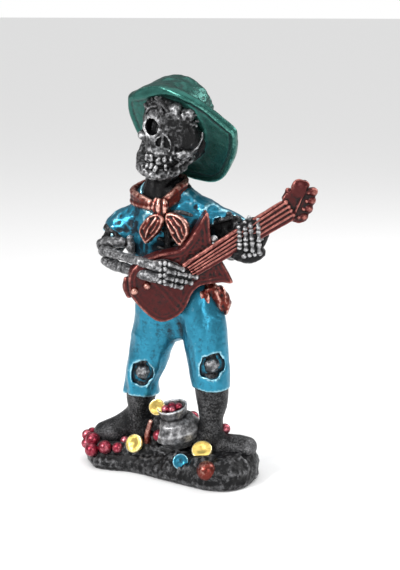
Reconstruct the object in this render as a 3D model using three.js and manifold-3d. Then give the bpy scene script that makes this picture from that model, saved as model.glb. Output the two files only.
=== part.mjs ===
import * as THREE from 'three';
import { mergeVertices } from 'three/addons/utils/BufferGeometryUtils.js';
import Module from 'manifold-3d';

// Skeleton guitarist figurine, cast in resin as one body and painted afterwards.
// Millimetres, +Z up. The figure faces -Y, its left hand is on the +X side.

const wasm = await Module();
wasm.setup();

// Placement of the finished casting: the middle of its footprint goes to the origin.
const CENTRE_X = 6.32;
const CENTRE_Y = 8.26;

// Rock base
const ROCK_LOW = 9.6;
const ROCK_HIGH = 14.5;
const ROCK_EDGE = [
  [-53.5, 7], [-48, -2], [-41, -9], [-31, -9], [-22, -7], [-10, -8.5], [0, -10.5], [12, -12.5], [24, -14.5],
  [33, -12.5], [39, -7.5], [41.5, -1], [42, 8], [40, 17], [35, 24], [24, 30], [8, 33], [-8, 34], [-24, 34],
  [-38, 31], [-48, 24], [-54, 16],
];

// Heads and hat
const HEAD = [-4.5, 12, 178.3];
const HEAD_TURN = 4;
const HEAD_ROLL = 10;
const BRIM = [-2, 15, 173];

// Guitar
const GUITAR = [2.8, -9.3, 101];
const GUITAR_TURN = 33;
const GUITAR_TIP = -8;
const BODY_DEPTH = 7;
const NECK_DEPTH = 5;
const HEADSTOCK_DEPTH = 4;
const STRING_RADIUS = 0.75;

const degrees = Math.PI / 180;
const v = (x, y, z) => new THREE.Vector3(x, y, z);
const from = (list) => v(...list);
const mix = (a, b, t) => a + (b - a) * t;

// A repeatable unevenness between -1 and 1.
const uneven = (i, k) => Math.sin(i * 12.9898 + k * 78.233) * Math.cos(i * 4.7 - k * 2.3);

function closedBody(points, faces) {
  let volume = 0;
  for (let i = 0; i < faces.length; i += 3) {
    const [a, b, c] = [points[faces[i]], points[faces[i + 1]], points[faces[i + 2]]];
    volume += a.dot(b.clone().cross(c));
  }
  const triVerts = new Uint32Array(faces);
  if (volume < 0) triVerts.reverse();
  const vertProperties = new Float32Array(points.flatMap((p) => [p.x, p.y, p.z]));
  return new wasm.Manifold(new wasm.Mesh({ numProp: 3, vertProperties, triVerts }));
}

// A skin over closed rings of points, shut at both ends.
function loft(rings) {
  const n = rings[0].length;
  const points = rings.flat().map((p) => p.clone());
  const faces = [];
  for (let r = 0; r < rings.length - 1; r += 1) {
    for (let i = 0; i < n; i += 1) {
      const j = (i + 1) % n;
      const a = r * n;
      const b = a + n;
      faces.push(a + i, a + j, b + j, a + i, b + j, b + i);
    }
  }
  const ends = [rings[0], rings[rings.length - 1]].map((ring) => {
    const middle = ring.reduce((sum, p) => sum.add(p), v(0, 0, 0)).divideScalar(n);
    return points.push(middle) - 1;
  });
  const last = (rings.length - 1) * n;
  for (let i = 0; i < n; i += 1) {
    const j = (i + 1) % n;
    faces.push(ends[0], j, i, ends[1], last + i, last + j);
  }
  return closedBody(points, faces);
}

// A bar through stations { at, r }, where r is one radius or [sideways, other way].
// The sideways direction starts from lean and is carried along the path.
function bar(stations, { sides = 8, lean = [1, 0, 0], domed = true, ragged = 0 } = {}) {
  const at = stations.map((s) => from(s.at));
  const radii = stations.map((s) => (Array.isArray(s.r) ? s.r : [s.r, s.r]));
  const heading = at.map((p, i) => {
    const before = at[Math.max(i - 1, 0)];
    const after = at[Math.min(i + 1, at.length - 1)];
    return after.clone().sub(before).normalize();
  });
  if (domed) {
    const first = Math.min(...radii[0]);
    const end = Math.min(...radii[radii.length - 1]);
    at.unshift(at[0].clone().addScaledVector(heading[0], -0.55 * first));
    at.push(at[at.length - 1].clone().addScaledVector(heading[heading.length - 1], 0.55 * end));
    radii.unshift(radii[0].map((r) => 0.62 * r));
    radii.push(radii[radii.length - 1].map((r) => 0.62 * r));
    heading.unshift(heading[0]);
    heading.push(heading[heading.length - 1]);
  }
  let side = from(lean);
  const rings = at.map((p, k) => {
    side = side.clone().addScaledVector(heading[k], -side.dot(heading[k])).normalize();
    const other = heading[k].clone().cross(side);
    const torn = ragged && k === at.length - 1 ? ragged : 0;
    return Array.from({ length: sides }, (_, i) => {
      const angle = (i / sides) * 2 * Math.PI;
      return p.clone()
        .addScaledVector(side, radii[k][0] * Math.cos(angle))
        .addScaledVector(other, radii[k][1] * Math.sin(angle))
        .addScaledVector(heading[k], torn * (i % 2 ? 1 : -0.6));
    });
  });
  return loft(rings);
}

function welded(geometry) {
  const bare = new THREE.BufferGeometry();
  bare.setAttribute('position', geometry.getAttribute('position'));
  if (geometry.index) bare.setIndex(geometry.index);
  const joined = mergeVertices(bare, 1e-4);
  const place = joined.getAttribute('position');
  const points = Array.from({ length: place.count }, (_, i) => v(0, 0, 0).fromBufferAttribute(place, i));
  return closedBody(points, Array.from(joined.index.array));
}

function ball(at, radius, detail = 1) {
  const size = Array.isArray(radius) ? radius : [radius, radius, radius];
  const shape = new THREE.IcosahedronGeometry(1, detail);
  shape.scale(...size);
  shape.translate(...at);
  return welded(shape);
}

function bead([x, y, z, radius]) {
  const shape = new THREE.SphereGeometry(radius, 6, 4);
  shape.translate(x, y, z);
  return welded(shape);
}

const joined = (bodies) => bodies.reduce((whole, body) => whole.add(body));

// Rock base: rings that step in and up, with an uneven top that rises towards the left foot.
const rockTop = (x, y) => mix(ROCK_LOW, ROCK_HIGH, THREE.MathUtils.smoothstep(x, -35, 30)) + 0.04 * y;

function rock() {
  const levels = [
    { spread: 0.995, height: 0, rough: 0 },
    { spread: 1.01, height: 2.5, rough: 0.5 },
    { spread: 0.985, height: 0.62, rough: 0.8 },
    { spread: 0.93, height: 0.93, rough: 0.7 },
    { spread: 0.72, height: 1, rough: 0.7 },
    { spread: 0.35, height: 1.02, rough: 0.7 },
  ];
  return loft(levels.map((level, k) => ROCK_EDGE.map(([x, y], i) => {
    const spread = level.spread + 0.012 * level.rough * uneven(i, k + 5);
    const px = x * spread - 4 * (1 - spread);
    const py = 11 + (y - 11) * spread;
    const fixed = k < 2;
    const height = fixed ? level.height : level.height * rockTop(px, py) + level.rough * uneven(i, k);
    return v(px, py, height);
  })));
}

// Foot sections run from the heel to the toe; each is a low house shape across the foot.
function foot({ heel, toe, heelAcross, toeAcross, sole, heights, widths }) {
  const profile = [[-1, 0], [-1.02, 0.3], [-0.8, 0.68], [-0.25, 0.97], [0.25, 0.97], [0.8, 0.68], [1.02, 0.3], [1, 0]];
  const steps = heights.length - 1;
  return loft(heights.map((height, k) => {
    const t = k / steps;
    const middle = from(heel).lerp(from(toe), t);
    const across = from(heelAcross).lerp(from(toeAcross), t).normalize();
    return profile.map(([side, up]) => middle.clone()
      .addScaledVector(across, side * widths[k])
      .setZ(mix(sole[0], sole[1], t) + up * height));
  }));
}

const rightBoot = () => joined([
  bar([
    { at: [-23.4, 11, 41], r: [8, 8.2] },
    { at: [-23.9, 11, 36], r: [7.5, 7.8] },
    { at: [-24.4, 11.2, 31.5], r: [6.5, 7] },
    { at: [-25, 11.4, 26], r: [6.2, 6.4] },
    { at: [-25.5, 11.6, 20], r: [7, 6.4] },
  ], { sides: 8, domed: false }),
  foot({
    heel: [-16.5, 14.5, 0],
    toe: [-46.5, 7, 0],
    heelAcross: [0.33, -0.94, 0],
    toeAcross: [0.81, -0.58, 0],
    sole: [9, 11.5],
    heights: [13, 19, 21, 17.6, 14, 11.2, 8.6],
    widths: [5, 6.3, 6.2, 6.2, 7, 8, 8.4],
  }),
]);

const leftBoot = () => joined([
  bar([
    { at: [17.6, 9, 49], r: [8.7, 8.7] },
    { at: [18, 9, 44], r: [8.5, 8.5] },
    { at: [18.2, 9, 38], r: [7.6, 7.8] },
    { at: [17.6, 9, 31], r: [6.1, 6.6] },
    { at: [17.4, 9.3, 24], r: [6.3, 6.4] },
  ], { sides: 8, domed: false }),
  foot({
    heel: [8.5, 8.5, 0],
    toe: [38, 12, 0],
    heelAcross: [-0.1, -0.99, 0],
    toeAcross: [0.06, -0.99, 0],
    sole: [11, 13.5],
    heights: [13, 15.5, 13, 10.6, 9.6, 9.2, 8.2],
    widths: [5, 6.2, 6.3, 6.3, 6.6, 7, 6.6],
  }),
]);

// Trousers: two legs that meet at the hips, each with a torn hole over the knee cap.
const RIGHT_LEG = [
  { at: [-10.5, 12, 93], r: [10.8, 11.4] },
  { at: [-12, 12, 87], r: [12.6, 12.6] },
  { at: [-14.3, 11.6, 76], r: [12.2, 11.6] },
  { at: [-17.5, 11.1, 65], r: [11, 10.6] },
  { at: [-19.9, 10.6, 57], r: [10.3, 10] },
  { at: [-22.2, 10.4, 50], r: [9.2, 9.4] },
  { at: [-23.3, 10.8, 44], r: [8.7, 9] },
  { at: [-23.7, 11, 38.6], r: [9.1, 9.1] },
];
const LEFT_LEG = [
  { at: [7, 11.5, 95], r: [9.6, 10.6] },
  { at: [9.5, 11, 90], r: [11.5, 12] },
  { at: [12.9, 10.1, 78], r: [11.6, 11.4] },
  { at: [15.2, 9.4, 66], r: [10.7, 10.6] },
  { at: [16.1, 9, 59], r: [10.1, 10] },
  { at: [16.6, 9, 53], r: [10.1, 9.9] },
  { at: [17.2, 9, 47], r: [9.6, 9.6] },
];

function kneeHole(at, facing, wide, tall) {
  const out = from(facing).normalize();
  const side = v(0, 0, 1).cross(out).normalize();
  const rim = 11;
  return loft([5.2, 14].map((depth) => Array.from({ length: rim }, (_, i) => {
    const angle = (i / rim) * 2 * Math.PI;
    const reach = 1.08 + 0.14 * (i % 2 ? 1 : -1) + 0.08 * uneven(i, 3);
    return from(at)
      .addScaledVector(out, depth)
      .addScaledVector(side, wide * reach * Math.cos(angle))
      .add(v(0, 0, tall * reach * Math.sin(angle)));
  })));
}

function kneeCap(at, facing, radius) {
  const place = from(at).addScaledVector(from(facing).normalize(), 5.2);
  return bead([place.x, place.y, place.z, radius]);
}

function trousers() {
  const kneeR = [-21.6, 10.6, 51];
  const kneeL = [17, 9, 59.5];
  const facingR = [0.33, -0.94, 0.05];
  const facingL = [0.52, -0.85, 0.05];
  const legs = joined([
    bar(RIGHT_LEG, { sides: 10, domed: false, ragged: 0.6 }),
    bar(LEFT_LEG, { sides: 10, domed: false, ragged: 0.6 }),
    bar([
      { at: [-4, 12, 94], r: [19.4, 12.6] },
      { at: [-1.5, 12, 84], r: [18, 11] },
      { at: [-1, 12, 77], r: [12, 8] },
    ], { sides: 9, domed: false }),
  ]);
  return joined([
    legs.subtract(kneeHole(kneeR, facingR, 5.2, 7)).subtract(kneeHole(kneeL, facingL, 5.8, 6.6)),
    kneeCap(kneeR, facingR, 3.6),
    kneeCap(kneeL, facingL, 3.8),
  ]);
}

// Shirt: the trunk with its open chest, and two short torn sleeves.
const trunk = () => bar([
  { at: [-4.5, 12, 90], r: [17, 11] },
  { at: [-5.5, 12, 100], r: [19.5, 12] },
  { at: [-6.5, 12, 112], r: [21.8, 12.5] },
  { at: [-7, 12.2, 123], r: [22.5, 13] },
  { at: [-8.5, 12.4, 131], r: [22, 12.6] },
  { at: [-10.5, 12.6, 138], r: [18, 11.5] },
  { at: [-12, 12.8, 143.5], r: [12.5, 10] },
], { sides: 12, domed: false });

const sleeves = () => joined([
  bar([
    { at: [-19, 13, 130.5], r: [9.5, 10] },
    { at: [-27, 12, 127], r: [10, 10.4] },
    { at: [-32.5, 9.5, 122.5], r: [9.8, 10.2] },
    { at: [-35.4, 7.5, 116.6], r: [9.4, 9.6] },
  ], { sides: 10, lean: [0, 1, 0], domed: false, ragged: 1.2 }),
  bar([
    { at: [-2, 13.5, 136.4], r: [9.5, 8.8] },
    { at: [9, 15, 133.6], r: [10, 9.4] },
    { at: [18.5, 16.5, 129.6], r: [9.2, 8.8] },
    { at: [25.5, 18, 126], r: [8.2, 8.4] },
  ], { sides: 10, lean: [0, 1, 0], domed: false, ragged: 1.2 }),
]);

function ribs() {
  const bars = [];
  for (let k = 0; k < 3; k += 1) {
    const z = 127 - 4.6 * k;
    bars.push(bar([
      { at: [-15.5, -0.4, z + 1.5], r: 1.3 },
      { at: [-9, -1.9, z - 0.6], r: 1.3 },
      { at: [-3, -1.7, z + 1.2], r: 1.3 },
    ], { sides: 5, lean: [0, 0, 1], domed: false }));
  }
  return joined(bars);
}

const throat = () => bar([
  { at: [-12.5, 10.5, 136], r: [11, 10.5] },
  { at: [-12.3, 11, 146], r: [8.4, 8] },
  { at: [-10.5, 11.6, 153], r: [7.2, 7.2] },
  { at: [-7, 12.5, 162], r: [8.5, 8.5] },
], { sides: 10, domed: false });

// Neckerchief: a folded band round the neck, a knot and two hanging ends.
function neckerchief() {
  const band = [
    [-10, 22, 148.5], [-19, 19.5, 147], [-24.5, 13.5, 144.3], [-24.6, 6.5, 142], [-18.5, 1, 140.2],
    [-12, -1.8, 138.6],
  ].map((at, k) => ({ at, r: [3.2, 4.2 - 0.25 * k] }));
  const other = [
    [-10, 22, 148.5], [-3, 19.5, 149], [0.8, 13, 147], [-0.4, 6.5, 144.6], [-2.4, 1, 141.6], [-5, -2, 139.2],
  ].map((at, k) => ({ at, r: [3.2, 4.3 - 0.3 * k] }));
  return joined([
    bar(band, { sides: 5, lean: [0, 1, 0] }),
    bar(other, { sides: 5, lean: [0, 1, 0] }),
    bead([-6.6, -3.6, 138.9, 3.5]),
    bar([
      { at: [-7.4, -3.8, 136.5], r: [1.6, 1.4] },
      { at: [-9.6, -5.3, 133.3], r: [3.4, 1.7] },
      { at: [-12, -5.6, 128.5], r: [5, 1.9] },
      { at: [-13.6, -5, 124], r: [3.4, 1.6] },
      { at: [-13.4, -4.2, 121], r: [0.8, 0.8] },
    ], { sides: 6 }),
    bar([
      { at: [-5, -3.8, 136.5], r: [1.6, 1.4] },
      { at: [-1.6, -4.6, 133.5], r: [3.2, 1.7] },
      { at: [1.6, -4.6, 128.5], r: [4.2, 1.8] },
      { at: [2.6, -3.8, 123.5], r: [2.8, 1.5] },
      { at: [2.6, -3.2, 120.5], r: [0.8, 0.8] },
    ], { sides: 6 }),
  ]);
}

const sash = () => joined([
  bar([
    { at: [17.4, 8.5, 97.5], r: [4.4, 4] },
    { at: [20.5, 10.5, 94.4], r: [5, 4.6] },
    { at: [22.2, 12.5, 90.5], r: [4.6, 4.6] },
    { at: [21.6, 13.5, 86.5], r: [3, 3.2] },
  ], { sides: 7 }),
  ball([16, 4.5, 94.5], [2.8, 3, 4.4], 0),
]);

// Head frame: x to the figure's left, y out of the face, z to the crown.
const turn = HEAD_TURN * degrees;
const roll = HEAD_ROLL * degrees;
const faceOut = v(Math.sin(turn), -Math.cos(turn), 0);
const level = v(Math.cos(turn), Math.sin(turn), 0);
const headLeft = level.clone().multiplyScalar(Math.cos(roll)).add(v(0, 0, -Math.sin(roll)));
const headUp = level.clone().multiplyScalar(Math.sin(roll)).add(v(0, 0, Math.cos(roll)));

function onHead(x, y, z) {
  const p = from(HEAD).addScaledVector(headLeft, x).addScaledVector(faceOut, y).addScaledVector(headUp, z);
  return [p.x, p.y, p.z];
}

function headFrame(at) {
  return new THREE.Matrix4().makeBasis(headLeft, faceOut.clone().negate(), headUp).setPosition(...onHead(...at));
}

function headBall(at, size, detail = 1) {
  const shape = new THREE.IcosahedronGeometry(1, detail);
  shape.scale(...size);
  shape.applyMatrix4(headFrame(at));
  return welded(shape);
}

function headBar(stations, options = {}) {
  const lean = [headLeft.x, headLeft.y, headLeft.z];
  return bar(stations.map(({ at, r }) => ({ at: onHead(...at), r })), { lean, ...options });
}

// Raised rim round the open eye socket.
function socketRim() {
  const ring = new THREE.TorusGeometry(4.9, 1.2, 4, 12);
  ring.rotateX(90 * degrees);
  ring.rotateZ(-12 * degrees);
  ring.applyMatrix4(headFrame([-6.6, 13.6, -1.2]));
  return welded(ring);
}

function skull() {
  const bone = joined([
    headBall([0, -1, 2], [16, 17.5, 16.5], 1),
    // face block down to the upper teeth
    headBar([
      { at: [0, 6.5, 5], r: [12.5, 9.5] },
      { at: [0, 7, -2], r: [12.6, 9.2] },
      { at: [0, 6.8, -8.5], r: [11.5, 9.4] },
      { at: [0, 6.8, -14], r: [8.4, 9.2] },
      { at: [0, 6.8, -17.6], r: [7.2, 8.6] },
    ], { sides: 10, domed: false }),
    // jaw: chin and two rising ends
    headBar([
      { at: [-11.8, 0, -12], r: [2.4, 4] },
      { at: [-10.4, 4, -20.5], r: [2.4, 4.4] },
      { at: [-5.6, 11, -25.2], r: [2.8, 4.2] },
      { at: [0, 13.2, -26], r: [3, 4.2] },
      { at: [5.6, 11, -25.2], r: [2.8, 4.2] },
      { at: [10.4, 4, -20.5], r: [2.4, 4.4] },
      { at: [11.8, 0, -12], r: [2.4, 4] },
    ], { sides: 6, lean: [faceOut.x, faceOut.y, faceOut.z] }),
    headBall([0, 4, -20], [8.6, 8.6, 6], 1),
    // cheekbones and brow
    headBar([
      { at: [-12.6, 2, -6.5], r: 1.8 },
      { at: [-12.2, 8.5, -7], r: [2.4, 2.6] },
      { at: [-7.4, 13.2, -8.4], r: [2.4, 2.4] },
    ], { sides: 5 }),
    headBar([
      { at: [12.6, 2, -6.5], r: 1.8 },
      { at: [12.2, 8.5, -7], r: [2.4, 2.6] },
      { at: [7.4, 13.2, -8.4], r: [2.4, 2.4] },
    ], { sides: 5 }),
    headBar([
      { at: [-1.2, 15.4, 1.6], r: 1.8 },
      { at: [4, 14.8, 4.8], r: 2.1 },
      { at: [9.4, 12.6, 4], r: 2 },
      { at: [13, 9, 1], r: 1.6 },
    ], { sides: 6 }),
    socketRim(),
  ]);
  const nose = [[-3.6, -10.6], [-2.6, -7.4], [0.4, -4.8], [3, -6.6], [4, -10.8], [2, -12.4], [0, -10.6], [-1.8, -12.2]];
  const socket = Array.from({ length: 10 }, (_, i) => {
    const angle = (i / 10) * 2 * Math.PI;
    return [-6.6 + 4.2 * Math.cos(angle), -1.2 + 4.2 * Math.sin(angle)];
  });
  const hollow = (outline, deep) => loft([deep, 22].map((y) => outline.map(([x, z]) => from(onHead(x, y, z)))));
  return bone.subtract(hollow(socket, 9.5)).subtract(hollow(nose, 13));
}

function teeth() {
  const rows = [
    { z: -17.8, count: 6, size: 1.5, tall: 2.2 },
    { z: -21.4, count: 5, size: 1.45, tall: 1.9 },
  ];
  const pegs = [];
  rows.forEach(({ z, count, size, tall }, row) => {
    for (let i = 0; i < count; i += 1) {
      const swing = mix(-62, 62, i / (count - 1)) * degrees;
      const at = [7.4 * Math.sin(swing), 6.2 + 9.4 * Math.cos(swing), z + 0.5 * uneven(i, row)];
      pegs.push(headBar([
        { at: [at[0], at[1], at[2] + tall], r: size },
        { at: [at[0], at[1] - 0.5, at[2] - tall * 0.95], r: size * 0.85 },
      ], { sides: 4, domed: false }));
    }
  });
  return joined(pegs);
}

const eyePatch = () => joined([
  headBall([8.6, 9.4, -3.6], [7.2, 5.4, 8.8], 1),
  headBar([
    { at: [-5.4, 14.6, 12], r: 1.1 },
    { at: [-1, 16.4, 6.5], r: 1.1 },
    { at: [3.4, 15.6, 2], r: 1.1 },
  ], { sides: 5 }),
]);

// Hat: brim plane with two directions in it and the way the crown points.
const crownWay = v(0.159, 0.836, 0.526).normalize();
const brimLong = v(0.727, 0.262, -0.636).normalize();
const brimUp = v(0.67, -0.483, 0.566).normalize();

function onHat(along, up, out) {
  return from(BRIM)
    .addScaledVector(brimLong, along)
    .addScaledVector(brimUp, up)
    .addScaledVector(crownWay, out);
}

// Edge of the brim in its own plane: along the long way, then up.
const BRIM_EDGE = [
  [-32, -6], [-28, -11], [-23, -15.5], [-18, -19.5], [-11, -23.5], [-3, -25.5], [5, -24.5], [12, -21], [19, -16],
  [25.4, -10.5], [29, -5], [29.6, 1], [28.6, 7], [27.2, 13.5], [25, 19.5], [22, 25], [19.2, 28.4], [14.5, 28.6],
  [8, 28.6], [0, 28.4], [-8, 26.6], [-14.5, 24], [-20, 19.2], [-25.4, 10.8], [-29.4, 3.4], [-33, -2.4],
];
const CROWN_MIDDLE = [-9.5, 1.5];
const CROWN_RINGS = [
  { wide: 20.5, tall: 20, out: 4 },
  { wide: 18.6, tall: 18, out: 12 },
  { wide: 15.5, tall: 16, out: 19.4 },
  { wide: 9.5, tall: 10, out: 22.8 },
];

// The brim droops towards the face at its lower end and turns up at the far corner.
function rimLift(along, up) {
  const low = THREE.MathUtils.smoothstep(along - up, 18, 40);
  const corner = THREE.MathUtils.smoothstep(-along, 22, 34);
  return -3 * low + 1.5 * corner;
}

function hat() {
  const brim = [
    { reach: 0.55, out: 2.4, lift: 0.1 },
    { reach: 0.97, out: -0.6, lift: 1 },
    { reach: 1, out: 1, lift: 1 },
    { reach: 0.86, out: 2.6, lift: 0.6 },
  ].map(({ reach, out, lift }) => BRIM_EDGE.map(([along, up]) => {
    const height = out + lift * rimLift(along, up);
    return onHat(along * reach, up * reach, height);
  }));
  const crown = CROWN_RINGS.map(({ wide, tall, out }) => BRIM_EDGE.map(([along, up]) => {
    const angle = Math.atan2(up, along);
    return onHat(CROWN_MIDDLE[0] + wide * Math.cos(angle), CROWN_MIDDLE[1] + tall * Math.sin(angle), out);
  }));
  return loft([...brim, ...crown]);
}

const hair = () => headBall([1.5, -4, -1.5], [17.8, 15.5, 17.6], 2);

// Guitar frame: x along the strings' plane to the figure's left, z up, y out of its face.
const swing = GUITAR_TURN * degrees;
const tip = GUITAR_TIP * degrees;
const guitarOut = v(Math.sin(swing) * Math.cos(tip), -Math.cos(swing) * Math.cos(tip), Math.sin(tip));
const guitarLeft = v(Math.cos(swing), Math.sin(swing), 0);
const guitarUp = guitarOut.clone().cross(guitarLeft);

function onGuitar(x, z, out = 0) {
  const p = from(GUITAR).addScaledVector(guitarLeft, x).addScaledVector(guitarUp, z).addScaledVector(guitarOut, out);
  return [p.x, p.y, p.z];
}

// A plate in the guitar's plane with its front at the height front.
function plate(outline, front, depth, edge) {
  const shape = new THREE.Shape(outline.map(([x, z]) => new THREE.Vector2(x, z)));
  const block = new THREE.ExtrudeGeometry(shape, {
    depth: depth - 2 * edge,
    bevelEnabled: edge > 0,
    bevelThickness: edge,
    bevelSize: edge,
    bevelOffset: -edge,
    bevelSegments: 1,
  });
  block.translate(0, 0, front - depth + edge);
  const frame = new THREE.Matrix4().makeBasis(guitarLeft, guitarUp, guitarOut).setPosition(...GUITAR);
  block.applyMatrix4(frame);
  return welded(block);
}

const GUITAR_BODY = [
  [-13.9, 13.4], [-9, 15.6], [-4.1, 17.3], [3.2, 18.6], [6.7, 20.1], [12.9, 29.1], [16.7, 36.1], [18.6, 37.6],
  [19.7, 34.5], [20.4, 25.3], [22, 20.2], [26.1, 12.8], [32.4, 1.1], [26.9, 1.3], [18.4, 0.5], [14.4, -1],
  [11.5, -4.6], [9.1, -10.8], [5.2, -15.5], [-1.3, -18.5], [-6.3, -17.8], [-12.3, -12.8], [-18.3, -5.2],
  [-19.8, 0.6], [-19.8, 5.8], [-18.3, 9.4],
];
const HEADSTOCK = [
  [55, 44.2], [59.6, 48.4], [63, 52.2], [66.8, 52.9], [68.6, 50.6], [67.6, 48.9], [71.4, 49.2], [72.6, 46.6],
  [70.9, 44], [71.9, 41.8], [70, 39.4], [70.4, 37.2], [68.1, 35.6], [68.2, 33.6], [66.2, 31.9], [60.4, 32.4],
];

function guitar() {
  const neckStart = [8.4, 7.6];
  const neckEnd = [59.2, 38.4];
  const alongNeck = (t, across) => {
    const dx = neckEnd[0] - neckStart[0];
    const dz = neckEnd[1] - neckStart[1];
    const length = Math.hypot(dx, dz);
    return [neckStart[0] + dx * t - (dz / length) * across, neckStart[1] + dz * t + (dx / length) * across];
  };
  const neckOutline = [alongNeck(0.06, -4.4), alongNeck(1, -5.4), alongNeck(1, 5), alongNeck(0.06, 3.6)];
  const strings = [];
  for (let k = 0; k < 4; k += 1) {
    const across = mix(-3, 3, k / 3);
    const start = alongNeck(0.09, across * 0.85);
    const end = alongNeck(0.985, across * 1.25);
    strings.push(bar([
      { at: onGuitar(start[0], start[1], 2.1), r: STRING_RADIUS },
      { at: onGuitar(end[0], end[1], 2.1), r: STRING_RADIUS },
    ], { sides: 4, domed: false }));
  }
  const knobs = [[-16, -1], [-9.4, 0.8]].map(([x, z]) => bar([
    { at: onGuitar(x, z, -0.5), r: 2.4 },
    { at: onGuitar(x, z, 1.4), r: 1.8 },
  ], { sides: 8, domed: false }));
  return joined([
    plate(GUITAR_BODY, 0, BODY_DEPTH, 1),
    plate(neckOutline, 1.6, NECK_DEPTH, 0.7),
    plate(HEADSTOCK, 1.2, HEADSTOCK_DEPTH, 0.6),
    ...strings,
    ...knobs,
    ball(onGuitar(22.4, 23.6, -3), 2.4, 0),
    bar([
      { at: onGuitar(-21.4, 2.5, -4), r: [1.6, 1.6] },
      { at: onGuitar(-20.6, -4.5, -4), r: [1.6, 1.6] },
    ], { sides: 6 }),
  ]);
}

// A finger of small bones that swell at the joints.
function finger(joints, thick) {
  const stations = [{ at: joints[0], r: thick }];
  for (let k = 1; k < joints.length; k += 1) {
    const half = from(joints[k - 1]).lerp(from(joints[k]), 0.5);
    stations.push({ at: [half.x, half.y, half.z], r: thick * 0.72 }, { at: joints[k], r: thick });
  }
  return bar(stations, { sides: 4, lean: [0, 1, 1] });
}

function rightArm() {
  const elbow = [-39.2, 3.5, 115];
  const wrist = onGuitar(-6.6, 10.8, 3.2);
  const palm = onGuitar(-2, 9.4, 3);
  const rows = [
    { from: [0.2, 11.2], to: [9.6, 8.6], bones: 2 },
    { from: [-0.4, 8], to: [15.6, 4.6], bones: 3 },
    { from: [-1.2, 5.2], to: [12.8, 1.8], bones: 3 },
    { from: [-2, 3], to: [7.8, -0.4], bones: 2 },
  ];
  const fingers = rows.map((row) => finger(
    Array.from({ length: row.bones + 1 }, (_, i) => {
      const t = i / row.bones;
      return onGuitar(mix(row.from[0], row.to[0], t), mix(row.from[1], row.to[1], t), 2.2 - 1.3 * t * t);
    }),
    1.4,
  ));
  return joined([
    bar([{ at: [-31, 10, 124], r: 4.6 }, { at: [-37.5, 6.5, 119.5], r: 4.4 }, { at: elbow, r: 4.8 }], { sides: 7 }),
    bar([
      { at: [elbow[0] + 1.5, elbow[1] - 1, elbow[2] - 2.2], r: 3.1 },
      { at: [-28, -3, 113.4], r: 2.2 },
      { at: [-14, -9.8, 111.9], r: 2.2 },
      { at: [wrist[0] - 1.5, wrist[1] + 0.4, wrist[2] + 0.8], r: 2.9 },
    ], { sides: 6, lean: [0, 0, 1] }),
    bar([
      { at: [elbow[0] + 0.5, elbow[1] + 0.6, elbow[2] - 5], r: 2.7 },
      { at: [-28, -1.6, 108.9], r: 2.3 },
      { at: [-14, -9, 107.2], r: 2.2 },
      { at: [wrist[0] - 2.4, wrist[1] + 0.6, wrist[2] - 3.8], r: 2.7 },
    ], { sides: 6, lean: [0, 0, 1] }),
    bar([
      { at: wrist, r: [4.6, 2.6] },
      { at: palm, r: [5.4, 2.6] },
      { at: onGuitar(0.6, 6.8, 2.4), r: [5.2, 1.8] },
    ], { sides: 7, lean: [0, 0, 1] }),
    ...fingers,
  ]);
}

function leftArm() {
  const elbow = [22.5, 23, 114];
  const rows = [
    { x: 33.2, z: [26.4, 11.6] },
    { x: 36.8, z: [29.8, 11.8] },
    { x: 40.4, z: [32.6, 12.2] },
    { x: 44, z: [33.2, 13.4] },
  ];
  const fingers = rows.map(({ x, z }) => finger([
    onGuitar(x + 0.4, z[0] - 0.5, -0.8),
    onGuitar(x, z[0] - 2.4, 3.2),
    onGuitar(x + 0.6, mix(z[0], z[1], 0.5), 4),
    onGuitar(x + 0.8, z[1], 3.2),
  ], 1.65));
  return joined([
    bar([{ at: [21, 17, 129], r: 4.2 }, { at: [26, 19.5, 122], r: 3 }, { at: elbow, r: 3.8 }], { sides: 6 }),
    bar([
      { at: elbow, r: [3.4, 3.4] },
      { at: [29, 17, 113.6], r: [2.8, 3.2] },
      { at: onGuitar(34.6, 10.6, 0), r: [3.4, 3] },
    ], { sides: 6 }),
    bar([
      { at: onGuitar(33.8, 10.8, 1), r: [3.2, 3.6] },
      { at: onGuitar(38.6, 10.6, 1), r: [3.8, 4.4] },
      { at: onGuitar(43, 12.4, 1), r: [3, 3.8] },
    ], { sides: 7 }),
    finger([
      onGuitar(43.6, 12.5, -2),
      onGuitar(46.5, 17, -5.4),
      onGuitar(48.6, 22, -4.6),
      onGuitar(49.4, 24, -1.4),
    ], 1.7),
    ...fingers,
  ]);
}

// Treasure on the rock: a cracked jar full of beads, coins, loose beads, a gem and a ball.
function disc(at, facing, radius, thick) {
  const way = from(facing).normalize();
  const near = from(at).addScaledVector(way, thick / 2);
  const far = from(at).addScaledVector(way, -thick / 2);
  return bar([
    { at: [far.x, far.y, far.z], r: radius },
    { at: [near.x, near.y, near.z], r: radius },
  ], { sides: 12, domed: false });
}

function jar() {
  const profile = [
    [0, 0], [4.6, 0], [4.8, 1.8], [9, 4.4], [12.2, 9.2], [12.4, 13], [9.8, 17.4], [6.6, 19.6], [8.2, 25],
    [7, 25], [5.6, 21.4], [0, 21.8],
  ].map(([r, h]) => new THREE.Vector2(r, h));
  const turned = new THREE.LatheGeometry(profile, 11);
  turned.rotateX(90 * degrees);
  turned.rotateY(-6 * degrees);
  turned.rotateX(14 * degrees);
  turned.translate(1.2, 8.2, 12);
  const beads = [[-4.2, 0.4, 34.4], [-0.4, 0.4, 34.6], [-2.4, 3.8, 35.2], [1.4, 3.8, 35.4]];
  return joined([
    welded(turned).subtract(ball([-8, -1.2, 23], [4.4, 4.4, 5], 1)),
    ...beads.map((at) => ball(at, 2.3, 0)),
  ]);
}

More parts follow.
